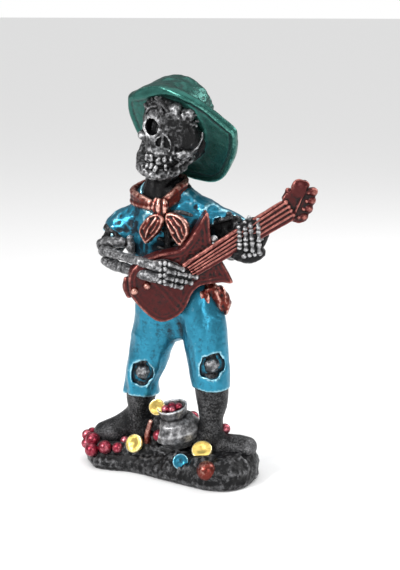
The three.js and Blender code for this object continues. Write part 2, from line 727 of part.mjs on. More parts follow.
// Each bead: its middle and its radius.
const LOOSE_BEADS = [
  [-52, 2.6, 13.4, 2.9], [-51, 0, 9.6, 2.8], [-45.6, -2.6, 13.2, 3.9], [-43.4, -8, 9.6, 3.6],
  [-36.5, -6, 11.4, 3.6], [-29.8, -4.6, 11.6, 2.9], [-28.4, 1.4, 13.6, 2.7], [-51.6, 7.4, 13.4, 2.7],
  [-7.6, -0.8, 20.2, 3.1], [-5.8, 1.2, 24.8, 2.1], [3.4, 17, 26.6, 3.2], [23.4, 13.4, 24, 2.8],
];

// Low ridge of rock and rubble that the treasure is bedded in.
const heap = () => bar([
  { at: [-47.5, 5, 8], r: [5.5, 6.5] },
  { at: [-40, -1, 8], r: [4.5, 5] },
  { at: [-29, -1.4, 9], r: [4, 4.4] },
  { at: [-18, -1, 10], r: [3.5, 4.4] },
  { at: [-5, -1, 11], r: [3.5, 4.4] },
  { at: [8, -2, 9.5], r: [4, 4] },
], { sides: 7, lean: [0, 1, 0] });

const treasure = () => joined([
  heap(),
  jar(),
  ...LOOSE_BEADS.map(bead),
  disc([-20.4, -3.6, 15], [-0.1, -0.95, 0.5], 4.9, 2),
  disc([-8.8, 0, 35.2], [0.2, -0.95, 0.35], 4.3, 1.8),
  disc([17.4, -2, 16.4], [0.15, -0.7, 0.85], 5.3, 2),
  disc([8.6, -8.2, 10.8], [0.35, -0.9, 0.5], 4, 2.4),
  ball([24, -10.6, 9.4], 5, 1),
  // rubble between the right boot and the jar, and a twig in front of it
  bar([
    { at: [-10.5, 4, 16], r: 5 },
    { at: [-9.4, 4.4, 25], r: 4.4 },
    { at: [-7.6, 4.4, 31.5], r: 3.4 },
  ], { sides: 6 }),
  bar([
    { at: [-15, 1, 12], r: 1.8 },
    { at: [-14, -1.4, 20], r: 1.5 },
    { at: [-12.4, -0.4, 27], r: 1.2 },
  ], { sides: 5 }),
]);

const figure = joined([
  rock(), rightBoot(), leftBoot(), trousers(), trunk(), sleeves(), ribs(), throat(), neckerchief(), sash(),
  skull(), teeth(), eyePatch(), hair(), hat(), guitar(), rightArm(), leftArm(), treasure(),
]);

function meshOf(name, body, look) {
  const { vertProperties, triVerts, numProp } = body.getMesh();
  const geometry = new THREE.BufferGeometry();
  const count = vertProperties.length / numProp;
  const place = new Float32Array(count * 3);
  for (let i = 0; i < count; i += 1) {
    place.set(vertProperties.slice(i * numProp, i * numProp + 3), i * 3);
  }
  geometry.setAttribute('position', new THREE.BufferAttribute(place, 3));
  geometry.setIndex(Array.from(triVerts));
  geometry.translate(-CENTRE_X, -CENTRE_Y, 0);
  geometry.computeVertexNormals();
  const mesh = new THREE.Mesh(geometry, new THREE.MeshStandardMaterial(look));
  mesh.name = name;
  return mesh;
}

const group = new THREE.Group();
group.name = 'skeleton_guitarist';
group.add(meshOf('figurine', figure, { color: 0x3a3a3e, roughness: 0.45, metalness: 0.3 }));
export default group;
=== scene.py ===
import math

import bpy
import numpy as np
from mathutils import Matrix, Vector


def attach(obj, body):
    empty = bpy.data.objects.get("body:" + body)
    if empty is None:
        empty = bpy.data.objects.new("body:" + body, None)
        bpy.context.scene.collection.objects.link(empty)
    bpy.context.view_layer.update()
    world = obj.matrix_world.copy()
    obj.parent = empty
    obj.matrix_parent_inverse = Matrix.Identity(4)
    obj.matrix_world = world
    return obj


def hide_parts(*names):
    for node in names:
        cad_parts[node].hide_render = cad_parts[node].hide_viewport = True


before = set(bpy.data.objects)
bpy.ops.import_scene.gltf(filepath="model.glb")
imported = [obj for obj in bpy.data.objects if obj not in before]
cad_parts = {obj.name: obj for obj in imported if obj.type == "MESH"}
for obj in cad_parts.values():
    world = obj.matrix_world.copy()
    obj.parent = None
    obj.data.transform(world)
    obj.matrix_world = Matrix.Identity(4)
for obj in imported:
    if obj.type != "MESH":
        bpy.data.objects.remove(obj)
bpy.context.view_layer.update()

# The figurine's painted surface, in millimetres until the meshes are made.
# +Z is up, the figure faces -Y, its left hand is on the +X side.
CENTRE = np.array([6.32, 8.26, 0.0])
REACH = 4.0


# Camera
def set_camera():
    turn, lift = math.radians(25), math.radians(12)
    right = Vector((math.cos(turn), math.sin(turn), 0))
    back = Vector((math.sin(turn) * math.cos(lift), -math.cos(turn) * math.cos(lift), math.sin(lift)))
    up = back.cross(right)
    target = 14 * right + Vector((0, 0, 100))
    place = (target + 650 * back - Vector(CENTRE)) / 1000
    camera = bpy.data.objects.new("camera", bpy.data.cameras.new("camera"))
    camera.data.lens = 82.1
    camera.data.sensor_width = 36
    camera.data.clip_start = 0.05
    camera.matrix_world = Matrix(
        (
            (right.x, up.x, back.x, place.x),
            (right.y, up.y, back.y, place.y),
            (right.z, up.z, back.z, place.z),
            (0, 0, 0, 1),
        )
    )
    bpy.context.scene.collection.objects.link(camera)
    bpy.context.scene.camera = camera


set_camera()


# Solids given by distance, and their meshes
class Form:
    """A solid: a box that holds it, and its distance in mm (below zero inside) at points in or near the box."""

    def __init__(self, low, high, dist):
        self.low = np.array(low, float)
        self.high = np.array(high, float)
        self.dist = dist

    def at(self, points):
        out = np.full(len(points), REACH, np.float32)
        k = near(points, self.low, self.high)
        if len(k):
            out[k] = np.minimum(self.dist(points[k]), REACH)
        return out


def near(points, low, high):
    inside = np.all((points > low - REACH) & (points < high + REACH), axis=1)
    return np.flatnonzero(inside)


def soft_min(a, b, soft):
    if soft <= 0:
        return np.minimum(a, b)
    h = np.maximum(soft - np.abs(a - b), 0) / soft
    return np.minimum(a, b) - h * h * soft / 4


def join(forms, soft=0.0):
    low = np.min([f.low for f in forms], axis=0)
    high = np.max([f.high for f in forms], axis=0)

    def dist(points):
        out = np.full(len(points), REACH, np.float32)
        for f in forms:
            k = near(points, f.low, f.high)
            if len(k):
                out[k] = soft_min(out[k], np.minimum(f.dist(points[k]), REACH), soft)
        return out

    return Form(low, high, dist)


def cut(form, tools, soft=0.0):
    tools = tools if isinstance(tools, list) else [tools]

    def dist(points):
        out = form.dist(points)
        for tool in tools:
            k = near(points, tool.low, tool.high)
            if len(k):
                out[k] = -soft_min(-out[k], np.minimum(tool.dist(points[k]), REACH), soft)
        return out

    return Form(form.low, form.high, dist)


def grown(form, amount, most=1.0):
    """The form with its surface moved out by amount(points), at most so many mm."""
    return Form(form.low - most, form.high + most, lambda points: form.dist(points) - amount(points))


def placed(form, origin, axes):
    """A form made in a local frame, set in the figure's frame. The axes are rows."""
    origin = np.array(origin, float)
    axes = np.array(axes, float)
    corners = np.array([[x, y, z] for x in (0, 1) for y in (0, 1) for z in (0, 1)])
    box = (form.low + corners * (form.high - form.low)) @ axes + origin
    to_local = axes.T.astype(np.float32)
    start = origin.astype(np.float32)
    return Form(box.min(0), box.max(0), lambda points: form.dist((points - start) @ to_local))


def smooth_path(rows, steps, closed=False):
    """Points through the given rows, with steps points for each stretch."""
    rows = np.array(rows, float)
    n = len(rows)
    if n < 3 or steps < 2:
        return rows
    out = []
    for i in range(n if closed else n - 1):
        if closed:
            a, b, c, d = rows[i - 1], rows[i], rows[(i + 1) % n], rows[(i + 2) % n]
        else:
            a, b, c, d = rows[max(i - 1, 0)], rows[i], rows[i + 1], rows[min(i + 2, n - 1)]
        for t in np.arange(steps) / steps:
            out.append(
                0.5 * (2 * b + (c - a) * t + (2 * a - 5 * b + 4 * c - d) * t**2 + (3 * b - a - 3 * c + d) * t**3)
            )
    if not closed:
        out.append(rows[-1])
    return np.array(out)


def tube(stations, lean=(1, 0, 0), steps=3):
    """A round bar through stations (x, y, z, radius) or (x, y, z, sideways radius, other radius)."""
    rows = smooth_path([s if len(s) == 5 else (*s, s[3]) for s in stations], steps)
    at, radii = rows[:, :3], np.maximum(rows[:, 3:], 0.15)
    side = np.array(lean, float)
    parts = []
    for a, b, ra, rb in zip(at[:-1], at[1:], radii[:-1], radii[1:]):
        way = b - a
        length = np.linalg.norm(way)
        if length < 1e-6:
            continue
        way = way / length
        side = side - way * (side @ way)
        side = side / np.linalg.norm(side)
        parts.append([x.astype(np.float32) for x in (a, way, side, np.cross(way, side), ra, rb)] + [length])
    most = radii.max()
    low, high = at.min(0) - most, at.max(0) + most

    def dist(points):
        out = np.full(len(points), REACH, np.float32)
        for a, way, sideways, other, ra, rb, length in parts:
            b = a + way * length
            widest = max(ra.max(), rb.max())
            k = near(points, np.minimum(a, b) - widest, np.maximum(a, b) + widest)
            if not len(k):
                continue
            q = points[k] - a
            t = q @ way
            u, w = q @ sideways, q @ other
            held = np.clip(t, 0, length)
            extra = t - held
            share = held / length
            ru = ra[0] + (rb[0] - ra[0]) * share
            rw = ra[1] + (rb[1] - ra[1]) * share
            size = np.sqrt(u * u + w * w + extra * extra)
            ratio = np.sqrt((u / ru) ** 2 + (w / rw) ** 2 + (extra / np.minimum(ru, rw)) ** 2) + 1e-6
            out[k] = np.minimum(out[k], size - size / ratio)
        return out

    return Form(low, high, dist)


def ball(at, size):
    radii = np.array(size if isinstance(size, (tuple, list)) else [size] * 3, np.float32)
    middle = np.array(at, np.float32)

    def dist(points):
        q = points - middle
        size_q = np.linalg.norm(q, axis=1)
        ratio = np.linalg.norm(q / radii, axis=1) + 1e-6
        return size_q - size_q / ratio

    return Form(middle - radii, middle + radii, dist)


def ring(at, facing, radius, thick):
    """A round ring of wire."""
    middle = np.array(at, np.float32)
    way = np.array(facing, float)
    way = (way / np.linalg.norm(way)).astype(np.float32)

    def dist(points):
        q = points - middle
        along = q @ way
        out = np.sqrt(np.maximum((q * q).sum(1) - along * along, 0)) - radius
        return np.sqrt(out * out + along * along) - thick

    return Form(middle - radius - thick, middle + radius + thick, dist)


def outline_distance(u, w, outline):
    """Distance in the plane to a closed outline, below zero inside."""
    best = np.full(len(u), 1e6, np.float32)
    inside = np.zeros(len(u), bool)
    n = len(outline)
    for i in range(n):
        (ax, ay), (bx, by) = outline[i], outline[(i + 1) % n]
        ex, ey = bx - ax, by - ay
        px, py = u - ax, w - ay
        t = np.clip((px * ex + py * ey) / (ex * ex + ey * ey + 1e-12), 0, 1)
        best = np.minimum(best, (px - t * ex) ** 2 + (py - t * ey) ** 2)
        crossing = (ay > w) != (by > w)
        if crossing.any():
            inside ^= crossing & (u < ax + (w - ay) * ex / (ey + 1e-12))
    best = np.sqrt(best)
    return np.where(inside, -best, best)


def slab(outline, back, front, edge, steps=3):
    """A plate with rounded edges in the local x-y plane, from back to front along z."""
    pts = smooth_path(outline, steps, closed=True)

    def dist(points):
        flat = outline_distance(points[:, 0], points[:, 1], pts) + edge
        deep = np.abs(points[:, 2] - (front + back) / 2) - (front - back) / 2 + edge
        out = np.sqrt(np.maximum(flat, 0) ** 2 + np.maximum(deep, 0) ** 2)
        return out + np.minimum(np.maximum(flat, deep), 0) - edge

    low, high = pts.min(0), pts.max(0)
    return Form([low[0], low[1], back], [high[0], high[1], front], dist)


LATTICE = np.random.RandomState(11).uniform(-1, 1, (64, 64, 64)).astype(np.float32)


def noise(points, size, seed=0):
    """Smooth unevenness between -1 and 1 with lumps of about the given size in mm."""
    q = points / np.float32(size) + np.float32(seed * 7.31)
    whole = np.floor(q)
    f = q - whole
    f = f * f * (3 - 2 * f)
    i = whole.astype(np.int32)
    ix, iy, iz = [(i[:, c] & 63, (i[:, c] + 1) & 63) for c in range(3)]
    out = 0
    for a, wa in ((0, 1 - f[:, 0]), (1, f[:, 0])):
        for b, wb in ((0, 1 - f[:, 1]), (1, f[:, 1])):
            for c, wc in ((0, 1 - f[:, 2]), (1, f[:, 2])):
                out = out + wa * wb * wc * LATTICE[ix[a], iy[b], iz[c]]
    return out


def ridged(points, size, seed=0):
    return 1 - 2 * np.abs(noise(points, size, seed))


def near_lines(u, w, lines, width):
    """1 on the given lines in a plane, falling to 0 over the width."""
    best = np.full(len(u), 1e6, np.float32)
    for line in lines:
        for (ax, ay), (bx, by) in zip(line[:-1], line[1:]):
            ex, ey = bx - ax, by - ay
            t = np.clip(((u - ax) * ex + (w - ay) * ey) / (ex * ex + ey * ey + 1e-9), 0, 1)
            best = np.minimum(best, (u - ax - t * ex) ** 2 + (w - ay - t * ey) ** 2)
    return np.exp(-best / (width * width))


def ramp(value, low, high):
    t = np.clip((value - low) / (high - low), 0, 1)
    return t * t * (3 - 2 * t)


def unit(values):
    values = np.array(values, float)
    return values / np.linalg.norm(values)


def field(form, size):
    """Distances on a grid, worked out only in the blocks that the surface passes through."""
    block = 6
    low = form.low - 2.0 * size
    count = np.ceil((form.high + 2.0 * size - low) / (block * size)).astype(int)
    grid = np.stack(np.meshgrid(*[np.arange(c) for c in count], indexing="ij"), -1).reshape(-1, 3)
    middles = (low + (grid + 0.5) * block * size).astype(np.float32)
    rough = form.at(middles)
    keep = np.abs(rough) < min(0.87 * block * size + 0.9, REACH - 0.05)
    values = np.sign(rough).astype(np.float32).reshape(count) * REACH
    values = values.repeat(block, 0).repeat(block, 1).repeat(block, 2)
    step = np.stack(np.meshgrid(*[np.arange(block)] * 3, indexing="ij"), -1).reshape(-1, 3)
    cells = (grid[keep][:, None, :] * block + step[None]).reshape(-1, 3)
    for chunk in np.array_split(cells, max(1, len(cells) // 400000)):
        points = (low + chunk * size).astype(np.float32)
        values[chunk[:, 0], chunk[:, 1], chunk[:, 2]] = form.at(points)
    return values, low


def skin(values, low, size):
    """Vertices and quads of the surface where the field is zero."""
    inside = values < 0
    corners = [(a, b, c) for a in (0, 1) for b in (0, 1) for c in (0, 1)]
    nx, ny, nz = [n - 1 for n in values.shape]
    total = np.zeros((nx, ny, nz), np.uint8)
    for a, b, c in corners:
        total += inside[a : a + nx, b : b + ny, c : c + nz]
    mixed = (total > 0) & (total < 8)
    cells = np.argwhere(mixed)
    number = np.full(mixed.shape, -1, np.int32)
    number[mixed] = np.arange(len(cells))
    place = np.zeros((len(cells), 3), np.float32)
    hits = np.zeros(len(cells), np.float32)
    for a in corners:
        for axis in range(3):
            if a[axis]:
                continue
            b = list(a)
            b[axis] = 1
            fa = values[tuple((cells + a).T)]
            fb = values[tuple((cells + b).T)]
            cross = (fa < 0) != (fb < 0)
            t = np.where(cross, fa / np.where(cross, fa - fb, 1), 0)
            for c in range(3):
                place[:, c] += np.where(cross, a[c] + (t if c == axis else 0), 0)
            hits += cross
    place = low + (cells + place / hits[:, None]) * size
    quads = []
    for axis in range(3):
        first = [slice(1, -1)] * 3
        second = [slice(1, -1)] * 3
        first[axis] = slice(0, -1)
        second[axis] = slice(1, None)
        one, two = inside[tuple(first)], inside[tuple(second)]
        for starts, turned in ((one & ~two, False), (~one & two, True)):
            at = np.argwhere(starts)
            at += np.where(np.arange(3) == axis, 0, 1)
            u, w = [(axis + 1) % 3, (axis + 2) % 3]
            ids = []
            for du, dw in ((0, 0), (-1, 0), (-1, -1), (0, -1)):
                cell = at.copy()
                cell[:, u] += du
                cell[:, w] += dw
                ids.append(number[tuple(cell.T)])
            quad = np.stack(ids, 1)
            quads.append(quad[:, ::-1] if turned else quad)
    return place, np.concatenate(quads)


def neighbour_mean(values, edges, count):
    """For each vertex, the mean of its neighbours' values."""
    both = np.concatenate([edges, edges[:, ::-1]])
    total = np.stack([np.bincount(both[:, 0], values[both[:, 1], c], count) for c in range(values.shape[1])], 1)
    return total / np.maximum(np.bincount(both[:, 0], minlength=count), 1)[:, None]


def face_normals(place, quads):
    a, b, c, d = [place[quads[:, i]] for i in range(4)]
    across = np.cross(c - a, d - b)
    out = np.zeros((len(place), 3))
    for i in range(4):
        for k in range(3):
            out[:, k] += np.bincount(quads[:, i], across[:, k], len(place))
    return out / (np.linalg.norm(out, axis=1, keepdims=True) + 1e-9)


PIECES = []


def piece(name, form, size, paint, marks=None):
    """Makes the mesh of a form as a piece that rides on the figurine's body."""
    values, low = field(form, size)
    place, quads = skin(values, low, size)
    edges = np.unique(np.sort(np.concatenate([quads[:, [0, 1]], quads[:, [1, 2]], quads[:, [2, 3]], quads[:, [3, 0]]]), 1), axis=0)
    count = len(place)
    place = 0.7 * place + 0.3 * neighbour_mean(place, edges, count)
    normals = face_normals(place, quads)
    mesh = bpy.data.meshes.new(name)
    mesh.vertices.add(count)
    mesh.vertices.foreach_set("co", ((place - CENTRE) / 1000).astype(np.float32).ravel())
    mesh.loops.add(quads.size)
    mesh.loops.foreach_set("vertex_index", quads.astype(np.int32).ravel())
    mesh.polygons.add(len(quads))
    mesh.polygons.foreach_set("loop_start", np.arange(0, quads.size, 4, dtype=np.int32))
    mesh.polygons.foreach_set("use_smooth", np.ones(len(quads), bool))
    mesh.update(calc_edges=True)
    reliefs = {"ridge": 4, "swell": 16}
    soft = place
    done = 0
    for label, rounds in reliefs.items():
        for _ in range(rounds - done):
            soft = neighbour_mean(soft, edges, count)
        done = rounds
        relief = ((place - soft) * normals).sum(1) / size
        layer = mesh.attributes.new(label, "FLOAT", "POINT")
        layer.data.foreach_set("value", relief.astype(np.float32))
    for label, mark in (marks or {}).items():
        layer = mesh.attributes.new(label, "FLOAT", "POINT")
        layer.data.foreach_set("value", mark(place.astype(np.float32)).astype(np.float32))
    thing = bpy.data.objects.new(name, mesh)
    bpy.context.scene.collection.objects.link(thing)
    mesh.materials.append(paint)
    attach(thing, "root")
    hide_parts("figurine")
    PIECES.append((name, len(quads) * 2))
    return thing


# Paints
class Nodes:
    """Short names for making a material's nodes."""

    def __init__(self, name):
        self.material = bpy.data.materials.new(name)
        self.material.use_nodes = True
        self.tree = self.material.node_tree
        self.shader = self.tree.nodes["Principled BSDF"]
        self.where = self.tree.nodes.new("ShaderNodeTexCoord").outputs["Object"]

    def link(self, value, socket):
        if isinstance(value, bpy.types.NodeSocket):
            self.tree.links.new(value, socket)
        else:
            socket.default_value = value

    def mark(self, name):
        node = self.tree.nodes.new("ShaderNodeAttribute")
        node.attribute_name = name
        return node.outputs["Fac"]

    def lumps(self, size_mm, detail=3.0, rough=0.6, seed=0.0, kind="ShaderNodeTexNoise"):
        node = self.tree.nodes.new(kind)
        node.inputs["Scale"].default_value = 1000 / size_mm
        node.inputs["Detail"].default_value = detail
        node.inputs["Roughness"].default_value = rough
        self.link(self.shifted(seed), node.inputs["Vector"])
        return node.outputs["Fac"]

    def shifted(self, seed):
        node = self.tree.nodes.new("ShaderNodeVectorMath")
        node.operation = "ADD"
        self.link(self.where, node.inputs[0])
        node.inputs[1].default_value = (seed, seed * 0.7, -seed)
        return node.outputs[0]

    def dents(self, size_mm, seed=0.0):
        node = self.tree.nodes.new("ShaderNodeTexVoronoi")
        node.feature = "SMOOTH_F1"
        node.inputs["Scale"].default_value = 1000 / size_mm
        node.inputs["Smoothness"].default_value = 0.6
        self.link(self.shifted(seed), node.inputs["Vector"])
        return node.outputs["Distance"]

    def maths(self, operation, a, b=0.0):
        node = self.tree.nodes.new("ShaderNodeMath")
        node.operation = operation
        self.link(a, node.inputs[0])
        self.link(b, node.inputs[1])
        return node.outputs[0]

    def span(self, value, low, high, to_low=0.0, to_high=1.0):
        node = self.tree.nodes.new("ShaderNodeMapRange")
        node.interpolation_type = "SMOOTHSTEP"
        self.link(value, node.inputs["Value"])
        for name, number in (("From Min", low), ("From Max", high), ("To Min", to_low), ("To Max", to_high)):
            node.inputs[name].default_value = number
        return node.outputs["Result"]

    def blend(self, share, a, b):
        node = self.tree.nodes.new("ShaderNodeMix")
        node.data_type = "RGBA"
        self.link(share, node.inputs["Factor"])
        self.link(a, node.inputs["A"])
        self.link(b, node.inputs["B"])
        return node.outputs["Result"]

    def bump(self, height, depth_mm, strength=1.0, before=None):
        node = self.tree.nodes.new("ShaderNodeBump")
        node.inputs["Distance"].default_value = depth_mm / 1000
        node.inputs["Strength"].default_value = strength
        self.link(height, node.inputs["Height"])
        if before is not None:
            self.link(before, node.inputs["Normal"])
        return node.outputs["Normal"]


def metallic_paint(name, colour, light, dark, rough=0.3, metal=0.8, hollow=(-0.9, 0.35), worn=(0.7, 2.0), dent=3.0):
    """Glossy metallic paint: dark wash in the hollows, lighter where it is rubbed on the high places, plus a mark added
    to the height, which on the shirt is a painted highlight and painted shade.
    """
    n = Nodes(name)
    grain = n.lumps(1.3, 4.0, 0.7, 1.3)
    patches = n.lumps(7.0, 3.0, 0.6, 4.1)
    relief = n.maths("ADD", n.mark("swell"), n.maths("MULTIPLY", n.mark("ridge"), 1.5))
    relief = n.maths("ADD", relief, n.maths("MULTIPLY", n.maths("SUBTRACT", grain, 0.5), 2.0))
    relief = n.maths("ADD", relief, n.maths("MULTIPLY", n.maths("SUBTRACT", patches, 0.5), 1.6))
    # On the shirt this mark is a painted highlight on the shoulders and painted shade under the arms.
    relief = n.maths("ADD", relief, n.mark("rub_and_painted_light"))
    wash = n.span(relief, *hollow)
    base = n.blend(n.span(patches, 0.35, 0.65), (*colour, 1), tuple(0.75 * c for c in colour) + (1,))
    base = n.blend(n.span(relief, *worn), base, (*light, 1))
    base = n.blend(wash, (*dark, 1), base)
    n.link(base, n.shader.inputs["Base Color"])
    n.link(n.span(wash, 0.0, 1.0, 0.1, metal), n.shader.inputs["Metallic"])
    n.link(n.span(n.maths("ADD", wash, grain), 0.4, 1.6, rough + 0.15, rough), n.shader.inputs["Roughness"])
    n.shader.inputs["Specular IOR Level"].default_value = 0.25
    fine = n.bump(n.dents(dent, 0.4), 0.35, 0.5)
    n.link(n.bump(grain, 0.15, 0.7, fine), n.shader.inputs["Normal"])
    return n.material


def rubbed_black(name, amount=0.0, grain_size=0.9, black=(0.004, 0.004, 0.0045), grey=(0.15, 0.15, 0.155), silver=(0.66, 0.66, 0.67)):
    """Glossy black with silver rubbed over the high places, thinly at first and bright where it is rubbed most."""
    n = Nodes(name)
    grain = n.lumps(grain_size, 5.0, 0.75, 2.2)
    patches = n.lumps(6.0, 3.0, 0.6, 3.3)
    relief = n.maths("ADD", n.maths("MULTIPLY", n.mark("ridge"), 1.9), n.maths("MULTIPLY", n.mark("swell"), 0.7))
    broken = n.maths("MULTIPLY", n.maths("SUBTRACT", grain, 0.5), 4.0)
    uneven = n.maths("MULTIPLY", n.maths("SUBTRACT", patches, 0.5), 1.8)
    height = n.maths("ADD", n.maths("ADD", relief, broken), n.maths("ADD", uneven, n.maths("ADD", n.mark("rub_and_painted_light"), amount)))
    share = n.span(height, -0.2, 1.5)
    base = n.blend(share, (*black, 1), (*grey, 1))
    base = n.blend(n.span(height, 0.9, 2.6), base, (*silver, 1))
    n.link(base, n.shader.inputs["Base Color"])
    n.link(n.span(share, 0.0, 1.0, 0.0, 0.65), n.shader.inputs["Metallic"])
    n.link(n.span(grain, 0.3, 0.7, 0.26, 0.45), n.shader.inputs["Roughness"])
    n.shader.inputs["Specular IOR Level"].default_value = 0.16
    n.link(n.bump(grain, 0.3, 0.8), n.shader.inputs["Normal"])
    return n.material


BLACK = rubbed_black("black_and_silver")
ROCK = rubbed_black("rock_black", amount=-0.25, grain_size=1.2)
BONE = rubbed_black("bone_grey", amount=0.4)
# Black with little silver: real dark paint, and painted shade on the plugs inside the sleeves.
DARK = rubbed_black("dark_paint_and_painted_shade", amount=-0.9)
SILVER = rubbed_black("worn_silver", amount=0.9, grain_size=2.4)
BLUE = metallic_paint("blue_paint", (0.035, 0.25, 0.38), (0.42, 0.76, 0.88), (0.003, 0.012, 0.02))
GREEN = metallic_paint("green_paint", (0.03, 0.125, 0.105), (0.20, 0.52, 0.44), (0.006, 0.02, 0.02), worn=(1.0, 2.6))
RED = metallic_paint("copper_red_paint", (0.17, 0.030, 0.022), (0.80, 0.46, 0.38), (0.008, 0.003, 0.003), worn=(0.5, 1.7))
WINE = metallic_paint("dark_red_paint", (0.085, 0.014, 0.014), (0.46, 0.17, 0.14), (0.008, 0.003, 0.003), metal=0.5, worn=(0.8, 2.2))
BEADS = metallic_paint("bead_paint", (0.26, 0.02, 0.04), (0.75, 0.25, 0.30), (0.02, 0.002, 0.004), hollow=(-2.5, -0.8))
GOLD = metallic_paint("gold_paint", (0.80, 0.58, 0.16), (1.0, 0.90, 0.58), (0.14, 0.07, 0.01), hollow=(-1.4, -0.1))


ROCK_EDGE = [
    (-53.5, 7), (-48, -2), (-41, -9), (-31, -9), (-22, -7), (-10, -8.5), (0, -10.5), (12, -12.5), (24, -14.5),
    (33, -12.5), (39, -7.5), (41.5, -1), (42, 8), (40, 17), (35, 24), (24, 30), (8, 33), (-8, 34), (-24, 34),
    (-38, 31), (-48, 24), (-54, 16),
]


def rock_top(x, y):
    return 9.6 + 4.9 * ramp(x, -35, 30) + 0.04 * y


def rock():
    edge = smooth_path(ROCK_EDGE, 3, closed=True)

    def dist(points):
        x, y, z = points.T
        side = outline_distance(x, y, edge)
        top = rock_top(x, y)
        rough = 0.75 * ridged(points, 7.0, 1) + 0.45 * ridged(points, 3.1, 2) + 0.3 * noise(points, 1.5, 3)
        lean = 3.2 * ramp(z / top, 0.45, 1.05) + 0.4 - 0.9 * ramp(z, 0, 3)
        body = -soft_min(-(side + lean), -(z - top), 5.0)
        body = body - rough * ramp(z, 0.2, 2.5)
        return np.maximum(body, -z)

    return Form([-56, -16.5, 0], [44, 36, 19], dist)


def foot(heel, toe, sole, heights, widths):
    heel, toe = np.array(heel, float), np.array(toe, float)
    steps = len(heights) - 1
    rows = []
    for k, (tall, wide) in enumerate(zip(heights, widths)):
        t = k / steps
        x, y = heel + (toe - heel) * t
        base = sole[0] + (sole[1] - sole[0]) * t - 1.5
        tall = tall + 1.5
        rows.append((x, y, base + 0.48 * tall, wide, 0.52 * tall))
    way = (toe - heel) / np.linalg.norm(toe - heel)
    return tube(rows, lean=(-way[1], way[0], 0), steps=4)


def right_boot():
    return join([
        tube([(-23.4, 11, 41, 8, 8.2), (-23.9, 11, 36, 7.5, 7.8), (-24.4, 11.2, 31.5, 6.5, 7), (-25, 11.4, 26, 6.2, 6.4),
              (-25.5, 11.6, 20, 7, 6.4)]),
        foot((-16.5, 14.5), (-44.5, 7.5), (9, 11.5), [13, 19, 21, 17.6, 14, 11.2, 8.6], [5, 6.3, 6.2, 6.2, 7, 8, 7.4]),
    ], 3)


def left_boot():
    return join([
        tube([(17.6, 9, 49, 8.7, 8.7), (18, 9, 44, 8.5, 8.5), (18.2, 9, 38, 7.6, 7.8), (17.6, 9, 31, 6.1, 6.6),
              (17.4, 9.3, 24, 6.3, 6.4)]),
        foot((8.5, 8.5), (36.4, 11.8), (11, 13.5), [13, 15.5, 13, 10.6, 9.6, 9.2, 8.2], [5, 6.2, 6.3, 6.3, 6.6, 7, 6.2]),
    ], 3)


RIGHT_LEG = [
    (-10.5, 12, 93, 10.8, 11.4), (-12, 12, 87, 12.6, 12.6), (-14.3, 11.6, 76, 12.2, 11.6), (-17.5, 11.1, 65, 11, 10.6),
    (-19.9, 10.6, 57, 10.3, 10), (-22.2, 10.4, 50, 9.2, 9.4), (-23.3, 10.8, 44, 8.7, 9), (-23.7, 11, 38.6, 9.1, 9.1),
]
LEFT_LEG = [
    (7, 11.5, 95, 9.6, 10.6), (9.5, 11, 90, 11.5, 12), (12.9, 10.1, 78, 11.6, 11.4), (15.2, 9.4, 66, 10.7, 10.6),
    (16.1, 9, 59, 10.1, 10), (16.6, 9, 53, 10.1, 9.9), (17.2, 9, 47, 9.6, 9.6),
]
KNEES = [
    ((-21.6, 10.6, 51), (0.33, -0.94, 0.05), 5.2, 7.0, 3.6),
    ((17, 9, 59.5), (0.52, -0.85, 0.05), 5.8, 6.6, 3.8),
]


def below(form, height):
    """The part of a form above a level."""
    return Form([form.low[0], form.low[1], height], form.high, lambda points: np.maximum(form.dist(points), height - points[:, 2]))


def knee_frame(at, facing):
    out = unit(facing)
    side = unit(np.cross((0, 0, 1), out))
    return np.array([side, np.cross(out, side), out])


def knee_hole(at, facing, wide, tall):
    axes = knee_frame(at, facing)
    corners = []
    for i in range(18):
        angle = i / 18 * 2 * math.pi
        reach = 1.05 + 0.1 * math.sin(2 * angle + 0.7) + 0.08 * math.sin(5 * angle + 1.9) + 0.04 * (i % 2 * 2 - 1)
        corners.append((wide * reach * math.cos(angle), tall * reach * math.sin(angle)))
    return placed(slab(corners, 5.0, 16, 0.4, 1), at, axes)


def trousers():
    right = below(tube(RIGHT_LEG, steps=4), 38.6)
    left = below(tube(LEFT_LEG, steps=4), 47)
    hips = tube([(-4, 12, 94, 19.4, 12.6), (-1.5, 12, 84, 18, 11), (-1, 12, 77, 12, 8)])
    whole = join([right, left, hips], 2.5)

    def folds(points):
        stretched = points * np.array([1, 1, 0.45], np.float32)
        return 0.55 * ridged(stretched, 6.5, 5) + 0.3 * noise(stretched, 3.2, 6)

    whole = grown(whole, folds)
    return cut(whole, [knee_hole(*k[:4]) for k in KNEES], 0.6)


def knees():
    caps = []
    for at, facing, wide, tall, radius in KNEES:
        place = np.array(at) + unit(facing) * 5.0
        caps.append(ball(tuple(place), (radius, radius, radius)))
        caps.append(tube([(*at[:2], at[2] + 9, 5.0), (*at[:2], at[2] - 9, 5.0)]))
    return grown(join(caps, 1.5), lambda points: 0.4 * ridged(points, 3.0, 8) + 0.2 * noise(points, 1.4, 9))


RIGHT_CUFF = (-34.2, 8.2, 120.6), (-0.5, -0.38, -0.78)
LEFT_CUFF = (22.4, 16, 130), (0.45, -0.4, -0.8)


def torn_end(at, way, wide=14, depth=16):
    """What is cut off a sleeve, with a ragged edge."""
    out = unit(way)
    side = unit(np.cross((0, 1, 0.2), out))

    def dist(points):
        angle = np.arctan2(points[:, 1], points[:, 0])
        edge = 0.9 * np.sin(5 * angle + 1) + 0.7 * np.sin(9 * angle + 2) + 0.5 * np.sin(17 * angle)
        return edge - points[:, 2]

    return placed(Form([-wide, -wide, -3], [wide, wide, depth], dist), at, [side, np.cross(out, side), out])


def shirt_folds(points):
    down = points * np.array([1, 1, 0.5], np.float32)
    return 0.6 * ridged(down, 8, 12) + 0.35 * ridged(points, 3.4, 13) + 0.2 * noise(points, 1.7, 14)


